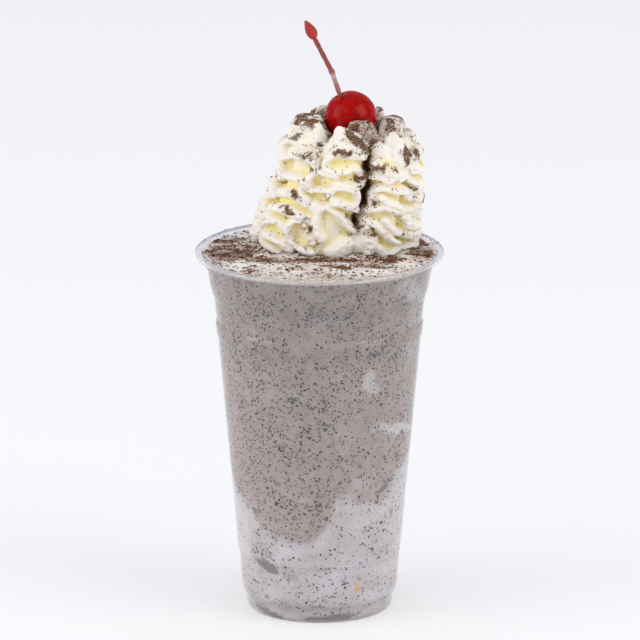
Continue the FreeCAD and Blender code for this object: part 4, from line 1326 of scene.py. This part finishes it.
stem_floor = CHERRY_CENTRE + leaning(CHERRY_LEAN) * (CHERRY_RADIUS - DIMPLE_DEPTH)
knot = stem_floor + leaning(LOWER_LEAN) * LOWER_STEM
bud = knot + leaning(UPPER_LEAN) * UPPER_STEM
bud_end = bud + leaning(UPPER_LEAN) * BUD_LENGTH


def stem_rows():
    """Rings along the stem, from its root in the cherry to the tip of its bud."""
    root = stem_floor - leaning(LOWER_LEAN) * STEM_ROOT
    lower = (knot - root)[None, :] * np.linspace(0, 1, 40)[:, None] + root
    upper = (bud_end - knot)[None, :] * np.linspace(0, 1, 84)[1:, None] + knot
    spine = np.vstack([lower, upper])
    spine[1:-1] = (spine[:-2] + spine[1:-1] + spine[2:]) / 3
    steps = np.concatenate([[0], np.cumsum(np.linalg.norm(np.diff(spine, axis=0), axis=1))])
    knot_at = STEM_ROOT + LOWER_STEM
    bud_at = knot_at + UPPER_STEM
    inside = ((steps - bud_at) / (steps[-1] - bud_at)).clip(0, 1)
    thick = STEM_RADIUS * (0.94 + 0.05 * np.sin(steps * 1.3))
    thick = thick + (KNOT_RADIUS - STEM_RADIUS) * hump(steps, knot_at, 1.1)
    belly = np.sin(math.pi * inside ** 0.8) ** 0.8
    swell = mix(STEM_RADIUS * 0.8, BUD_RADIUS, belly) * (1 - 0.45 * inside ** 3)
    thick = np.where(inside > 0, swell, thick)
    angle = np.arange(STEM_COLUMNS) * 2 * math.pi / STEM_COLUMNS
    ridges = 1 - 0.16 * ease(inside / 0.2)[:, None] * np.abs(np.sin(2.5 * angle))[None, :] ** 0.7
    ring_radius = thick[:, None] * ridges
    across = np.array([math.cos(RING_LEAN), 0, math.sin(RING_LEAN)])
    points = (spine[:, None, :] + ring_radius[..., None] * np.cos(angle)[None, :, None] * across
              + ring_radius[..., None] * np.sin(angle)[None, :, None] * np.array([0.0, 1, 0]))
    return points, steps


stem_points, stem_steps = stem_rows()
way_up = (stem_steps / stem_steps[-1])[:, None] + 0 * stem_points[..., 0]
stem_mesh = ring_mesh("cherry_stem", stem_points, {"up": way_up},
                      first_pole=tuple(stem_floor - leaning(LOWER_LEAN) * STEM_ROOT),
                      last_pole=tuple(bud_end))
print("stem length in mm:", round(stem_steps[-1], 1), "tip at", bud_end.round(1).tolist())

# %% [markdown]
# Along its way up the stem is dyed red by the syrup, browner with a painted highlight as a pale band at
# the knot, and red again in the bud.  A colour ramp over the painted way up says so, stop by stop.

# %% Stem: material
# The pale stop at 0.31 is a painted highlight.
STEM_DYE_AND_HIGHLIGHT_STOPS = [
    (0.00, (0.32, 0.030, 0.025)), (0.22, (0.40, 0.170, 0.140)), (0.31, (0.62, 0.400, 0.370)),
    (0.37, (0.30, 0.070, 0.050)), (0.68, (0.26, 0.060, 0.045)), (0.76, (0.46, 0.025, 0.020)),
    (1.00, (0.42, 0.022, 0.018)),
]
STEM_STREAK = (0.09, 0.03, 0.02)


def stem_material():
    """Dyed wood with dark streaks and a pale band of painted highlight, under a thin dried coat."""
    material, nodes, join = new_material("cherry_stem")
    vector = coordinates_in_mm(nodes, join)
    body = ramp(nodes, join, attribute(nodes, "up"), STEM_DYE_AND_HIGHLIGHT_STOPS)
    streak = grey_ramp(nodes, join, noise_node(nodes, join, vector, 0.8, 4.0, 0.7), 0.4, 0.65, 0.0, 0.45)
    body = mixed(nodes, join, streak, body, STEM_STREAK)
    shader = principled(nodes, Roughness=0.45, Specular_IOR_Level=0.2, Coat_Weight=0.4, Coat_Roughness=0.15)
    join(body, shader.inputs["Base Color"])
    finish_material(nodes, join, shader)
    return material


add_piece("cherry_stem", stem_mesh, stem_material(), "cherry_stem")

# %% [markdown]
# ## Crumbs and cocoa
#
# Chocolate crumbs hang in the whole shake, and cocoa lies wherever it fell: thick on the tips of the
# cream and in the clefts, thin on the folds, in a drift round the foot.  Thousands of small bits that
# follow a surface are what Geometry Nodes are for.  One tree throws points on a surface, more of them
# where a painted value is high, and puts a flattened grain on each, turned and sized at random.

# %% A tree that scatters grains
# The tree's sizes and what they are when nothing is said: grains on a square millimetre, half sizes in
# millimetres, the longest side and the thickness as shares of those, and the depth they sink to.
GRAIN_SIZES = [("Grains per mm2", 0.1), ("Smallest", 0.2), ("Largest", 0.5), ("Longest", 1.6),
               ("Flatness", 0.4), ("Sink", 0.0)]
MM2_IN_M2 = 1e6


def scatter_tree(name, value_name, material):
    """Geometry nodes: grains on a surface, as dense as the named value says."""
    tree = bpy.data.node_groups.new(name, "GeometryNodeTree")
    tree.interface.new_socket("Geometry", in_out="INPUT", socket_type="NodeSocketGeometry")
    for label, default in GRAIN_SIZES:
        socket = tree.interface.new_socket(label, in_out="INPUT", socket_type="NodeSocketFloat")
        socket.default_value = default
    tree.interface.new_socket("Seed", in_out="INPUT", socket_type="NodeSocketInt")
    tree.interface.new_socket("Geometry", in_out="OUTPUT", socket_type="NodeSocketGeometry")
    nodes, join = tree.nodes, tree.links.new
    given, result = nodes.new("NodeGroupInput"), nodes.new("NodeGroupOutput")

    # Points on the surface, as dense as the painted value says, and moved along its normal.
    value = nodes.new("GeometryNodeInputNamedAttribute")
    value.data_type = "FLOAT"
    value.inputs["Name"].default_value = value_name
    per_metre = multiplied(nodes, join, given.outputs["Grains per mm2"], MM2_IN_M2)
    points = nodes.new("GeometryNodeDistributePointsOnFaces")
    join(given.outputs["Geometry"], points.inputs["Mesh"])
    join(multiplied(nodes, join, per_metre, value.outputs["Attribute"]), points.inputs["Density"])
    join(given.outputs["Seed"], points.inputs["Seed"])
    sunk = nodes.new("GeometryNodeSetPosition")
    inward = nodes.new("ShaderNodeVectorMath")
    inward.operation = "SCALE"
    join(points.outputs["Normal"], inward.inputs[0])
    join(multiplied(nodes, join, given.outputs["Sink"], -MM), inward.inputs["Scale"])
    join(points.outputs["Points"], sunk.inputs["Geometry"])
    join(inward.outputs[0], sunk.inputs["Offset"])

    # The grain: a rough ball, with a size and three side lengths drawn at random.
    grain = nodes.new("GeometryNodeMeshIcoSphere")
    grain.inputs["Radius"].default_value = MM
    grain.inputs["Subdivisions"].default_value = 1
    size = nodes.new("FunctionNodeRandomValue")
    size.data_type = "FLOAT"
    join(given.outputs["Smallest"], size.inputs[2])
    join(given.outputs["Largest"], size.inputs[3])
    join(given.outputs["Seed"], size.inputs["Seed"])
    longest = nodes.new("ShaderNodeCombineXYZ")
    join(given.outputs["Longest"], longest.inputs[0])
    longest.inputs[1].default_value, longest.inputs[2].default_value = 1.0, 1.2
    shape = nodes.new("FunctionNodeRandomValue")
    shape.data_type = "FLOAT_VECTOR"
    shape.inputs[0].default_value = (0.85, 0.65, 0.8)
    join(longest.outputs[0], shape.inputs[1])
    stretch = nodes.new("ShaderNodeCombineXYZ")
    join(size.outputs[1], stretch.inputs[0])
    join(size.outputs[1], stretch.inputs[1])
    join(multiplied(nodes, join, size.outputs[1], given.outputs["Flatness"]), stretch.inputs[2])
    both = nodes.new("ShaderNodeVectorMath")
    both.operation = "MULTIPLY"
    join(stretch.outputs[0], both.inputs[0])
    join(shape.outputs[0], both.inputs[1])

    # It lies nearly flat, turned any way about the normal.
    spin = nodes.new("FunctionNodeRandomValue")
    spin.data_type = "FLOAT_VECTOR"
    spin.inputs[0].default_value = (-0.2, -0.2, -math.pi)
    spin.inputs[1].default_value = (0.2, 0.2, math.pi)
    spun = nodes.new("FunctionNodeRotateRotation")
    spun.rotation_space = "LOCAL"
    join(points.outputs["Rotation"], spun.inputs["Rotation"])
    join(spin.outputs[0], spun.inputs["Rotate By"])

    # Grains on the points, made real and given their material.
    placed = nodes.new("GeometryNodeInstanceOnPoints")
    join(sunk.outputs[0], placed.inputs["Points"])
    join(grain.outputs["Mesh"], placed.inputs["Instance"])
    join(spun.outputs[0], placed.inputs["Rotation"])
    join(both.outputs[0], placed.inputs["Scale"])
    real = nodes.new("GeometryNodeRealizeInstances")
    coloured = nodes.new("GeometryNodeSetMaterial")
    coloured.inputs["Material"].default_value = material
    join(placed.outputs[0], real.inputs[0])
    join(real.outputs[0], coloured.inputs["Geometry"])
    join(coloured.outputs[0], result.inputs[0])
    return tree

# %% [markdown]
# To throw grains on a piece, a short-lived object carries its mesh and the tree as a modifier.  The
# result is taken as a plain mesh, and the carrier, its modifier and the tree are removed again, so that
# nothing in the file still has to be worked out later.

# %% Grains thrown on a surface
GRAIN_FACES = 20           # a grain is a ball of twenty triangles


def scattered(name, surface, value_name, material, slot, **sizes):
    """A piece of grains thrown on a surface; sizes are the tree's named inputs, with _ for a space."""
    tree = scatter_tree(name, value_name, material)
    carrier = bpy.data.objects.new(name + "_carrier", surface)
    bpy.context.scene.collection.objects.link(carrier)
    modifier = carrier.modifiers.new(name, "NODES")
    modifier.node_group = tree
    for item in tree.interface.items_tree:
        label = item.name.replace(" ", "_")
        if item.in_out == "INPUT" and label in sizes:
            modifier[item.identifier] = sizes[label]
    evaluated = carrier.evaluated_get(bpy.context.evaluated_depsgraph_get())
    mesh = bpy.data.meshes.new_from_object(evaluated)
    mesh.name = name
    carrier.modifiers.clear()
    bpy.data.objects.remove(carrier)
    bpy.data.node_groups.remove(tree)
    for label in [layer.name for layer in mesh.attributes if layer.data_type == "FLOAT"]:
        mesh.attributes.remove(mesh.attributes[label])      # the surface's painted values stay with it
    print(name, "has", len(mesh.polygons) // GRAIN_FACES, "grains")
    add_piece(name, mesh, material)


def add_value(mesh, name, rows):
    """One more painted value on a mesh made from rings."""
    rows = np.asarray(rows, dtype=float).reshape(-1)
    values = np.zeros(len(mesh.vertices), dtype=np.float32)
    values[:len(rows)] = rows
    mesh.attributes.new(name, "FLOAT", "POINT").data.foreach_set("value", values)

# %% [markdown]
# Crumbs in the shake are fewer in the milky part and come in loose clouds and strings.  Those that lie
# against the wall look nearly black, and those a little deeper in look faint, because some milk lies
# over them, so there are two kinds, in two tones.

# %% Crumbs in the shake


def grain_material(name, dark, light, roughness=0.7):
    """Matt bits whose tone changes from one to the next."""
    material, nodes, join = new_material(name)
    vector = coordinates_in_mm(nodes, join)
    tone = grey_ramp(nodes, join, noise_node(nodes, join, vector, 0.9, 2.0, 0.6), 0.35, 0.65)
    shader = principled(nodes, Roughness=roughness, Specular_IOR_Level=0.05)
    join(mixed(nodes, join, tone, dark, light), shader.inputs["Base Color"])
    finish_material(nodes, join, shader)
    return material


clouds = np.clip(0.85 + 0.45 * rough(body_rows, 8, 3, 131), 0.3, 1.6)
strings = 1 + 1.0 * hump(noise(body_rows * (1, 1, 2.2), 14, 134), 0.0, 0.10)
clusters = 1 + 3.2 * patch_mask(*wall_place(body_rows), CRUMB_CLUSTERS, 0.9)
crumbs = clouds * strings * clusters * (1 - 0.86 * body_milk) * (1 - body_pocket)
crumbs = crumbs * ease((body_rows[..., 2] - 2) / 3)
add_value(body_mesh, "crumbs", crumbs)
dark_crumb = grain_material("dark_crumb", (0.014, 0.012, 0.015), (0.065, 0.056, 0.058))
faint_crumb = grain_material("faint_crumb", (0.10, 0.088, 0.088), (0.19, 0.165, 0.162))
scattered("dark_crumbs", body_mesh, "crumbs", dark_crumb, "shake", Grains_per_mm2=0.16, Smallest=0.24,
          Largest=0.58, Longest=1.2, Flatness=0.28, Sink=-0.07, Seed=5)
scattered("faint_crumbs", body_mesh, "crumbs", faint_crumb, "shake", Grains_per_mm2=0.26, Smallest=0.20,
          Largest=0.52, Longest=1.2, Flatness=0.30, Sink=-0.05, Seed=9)

# %% [markdown]
# Cocoa powder clumps into flecks.  It is matt and warm brown, thick where the cream faces up.  Single
# grains lie everywhere, but none touch the cherry, whose syrup washed them off.

# %% Cocoa on the cream and its dollops
FINE_COCOA = dict(Grains_per_mm2=1.5, Smallest=0.12, Largest=0.36, Flatness=0.55, Sink=-0.02)

cocoa_look = grain_material("cocoa", (0.066, 0.022, 0.007), (0.190, 0.083, 0.036), 0.9)
clumps = ease(rough(cream_rows, 1.9, 3, 141) * 2.4 - 0.55)
singles = 0.018 + 0.10 * ease(facing_up * 1.2) * ease(rough(cream_rows, 5, 3, 145) + 0.3)
near_cherry = np.linalg.norm(cream_rows - CHERRY_CENTRE, axis=-1) < CHERRY_RADIUS + 0.8
gathered = np.clip(cleft + 0.7 * inner_tip, 0, 1)
cocoa_here = (dusting * clumps + singles + 0.8 * gathered) * ease((cream_height - 145) / 1.5) * ~near_cherry
add_value(cream_mesh, "cocoa_here", cocoa_here)
scattered("cocoa_on_cream", cream_mesh, "cocoa_here", cocoa_look, "cream", Seed=3, **FINE_COCOA)
dollop_clumps = ease(rough(dollop_points, 1.9, 3, 147) * 2.4 - 0.35)
add_value(dollop_mesh, "cocoa_here", dollop_cocoa * dollop_clumps + 0.015)
scattered("cocoa_on_dollops", dollop_mesh, "cocoa_here", cocoa_look, "cream", Seed=12, **FINE_COCOA)

# %% [markdown]
# A little powder missed the cream.  Some stuck to the inside of the cup just under its lip, mostly at
# the back on the right, and more fell on the foam, where it soaked and clumped into larger flecks.

# %% Cocoa inside the lip and on the foam
SPECK_HEIGHT, SPECK_REACH = 144.2, 48.2      # the specks' height, and the radius they stay within

inner_face = np.arange(len(cup_rows)) >= len(cup_rows) // 2
from_behind = np.arctan2(cup_rows[..., 0], cup_rows[..., 1])
well_inside = np.linalg.norm(cup_rows[..., :2], axis=-1) < SPECK_REACH
specks = (inner_face[:, None] * well_inside * hump(cup_rows[..., 2], SPECK_HEIGHT, 0.7)
          * (0.15 + hump(from_behind, 0.9, 0.45) + 0.5 * hump(from_behind, -0.9, 0.3)))
add_value(cup_mesh, "specks", specks)
scattered("cocoa_on_wall", cup_mesh, "specks", cocoa_look, "shake", Grains_per_mm2=0.5,
          Smallest=0.14, Largest=0.36, Flatness=0.5, Sink=0.0, Seed=15)
foam_clumps = ease(rough(foam_rows, 2.8, 3, 151) * 1.9 + 0.3)
foam_here = (cocoa * foam_clumps + 0.10) * on_top
add_value(foam_mesh, "cocoa_here", foam_here)
scattered("cocoa_on_foam", foam_mesh, "cocoa_here", cocoa_look, "shake", Grains_per_mm2=2.2,
          Smallest=0.18, Largest=0.62, Flatness=0.5, Sink=0.0, Seed=7)

# %% [markdown]
# ## Light and floor
#
# The drink stands on pale paper.  Paper as bright as the backdrop would need so much light that the
# cream burned out and the shadow was lost, so a part of its colour is its own glow, and only for the
# rays that see it: the camera's, and those mirrored or bent by the cup.

# %% Floor
PAPER_GLOW = 0.40          # share of the paper's colour that is its own glow

floor_mesh = bpy.data.meshes.new("floor")
floor_mesh.from_pydata([(-6, -6, 0), (6, -6, 0), (6, 12, 0), (-6, 12, 0)], [], [(0, 1, 2, 3)])
floor = bpy.data.objects.new("floor", floor_mesh)
bpy.context.scene.collection.objects.link(floor)


def paper_material():
    """A pale floor that the camera sees as a light backdrop with the drink's soft shadow on it."""
    material, nodes, join = new_material("paper")
    paper = principled(nodes, Base_Color=(0.90, 0.90, 0.92, 1), Roughness=0.9, Specular_IOR_Level=0.0)
    glow = nodes.new("ShaderNodeEmission")
    glow.inputs["Color"].default_value = (0.990, 0.975, 0.985, 1)
    path = nodes.new("ShaderNodeLightPath")
    seen = path.outputs["Is Camera Ray"]
    for label in ("Is Glossy Ray", "Is Transmission Ray"):
        seen = maths(nodes, join, "MAXIMUM", seen, path.outputs[label])
    choice = nodes.new("ShaderNodeMixShader")
    join(multiplied(nodes, join, seen, PAPER_GLOW), choice.inputs[0])
    join(paper.outputs[0], choice.inputs[1])
    join(glow.outputs[0], choice.inputs[2])
    finish_material(nodes, join, choice)
    return material


floor_mesh.materials.append(paper_material())
print("floor size in m:", tuple(round(length, 1) for length in floor.dimensions))

# %% [markdown]
# The room is a pale sky from all sides, which fills every shadow.  In reflections it is dimmer, so that
# the cherry and the dark crumbs keep their depth under their shine.

# %% Sky
SKY_STRENGTH, SKY_IN_REFLECTIONS = 0.82, 0.50

world = bpy.data.worlds.new("studio")
bpy.context.scene.world = world
world.use_nodes = True
sky = world.node_tree.nodes["Background"]
sky.inputs["Color"].default_value = (0.91, 0.955, 1.0, 1)
strength = world.node_tree.nodes.new("ShaderNodeMapRange")
strength.inputs["To Min"].default_value = SKY_STRENGTH
strength.inputs["To Max"].default_value = SKY_IN_REFLECTIONS
mirrored = world.node_tree.nodes.new("ShaderNodeLightPath").outputs["Is Glossy Ray"]
world.node_tree.links.new(mirrored, strength.inputs["Value"])
world.node_tree.links.new(strength.outputs["Result"], sky.inputs["Strength"])
print("sky strength:", SKY_STRENGTH, "and in reflections:", SKY_IN_REFLECTIONS)

# %% [markdown]
# Two large warm lamps stand left and right, as in a small studio, the right one a little brighter, so
# that the folds are shaded gently from both sides.  A third, tiny one is there for a glint in the syrup.

# %% Lamps
LAMP_COLOUR = (1.0, 0.955, 0.91)
LAMP_AIM = Vector((0, 0, 0.12))


def softbox(name, place, size, watts):
    """A rectangular lamp that faces the drink."""
    lamp = bpy.data.lights.new(name, "AREA")
    lamp.shape = "RECTANGLE"
    lamp.color = LAMP_COLOUR
    lamp.size, lamp.size_y = size
    lamp.energy = watts
    holder = bpy.data.objects.new(name, lamp)
    bpy.context.scene.collection.objects.link(holder)
    holder.location = place
    holder.rotation_euler = (LAMP_AIM - holder.location).to_track_quat("-Z", "Y").to_euler()
    print(name, "lamp:", watts, "watts from", place)


softbox("key", (1.25, -0.7, 1.0), (1.1, 1.3), 10.0)
softbox("fill", (-1.35, -0.5, 0.8), (1.1, 1.3), 9.0)
softbox("glint", (-0.5, -0.9, 0.9), (0.10, 0.16), 0.5)
bpy.context.scene.view_settings.view_transform = "Standard"
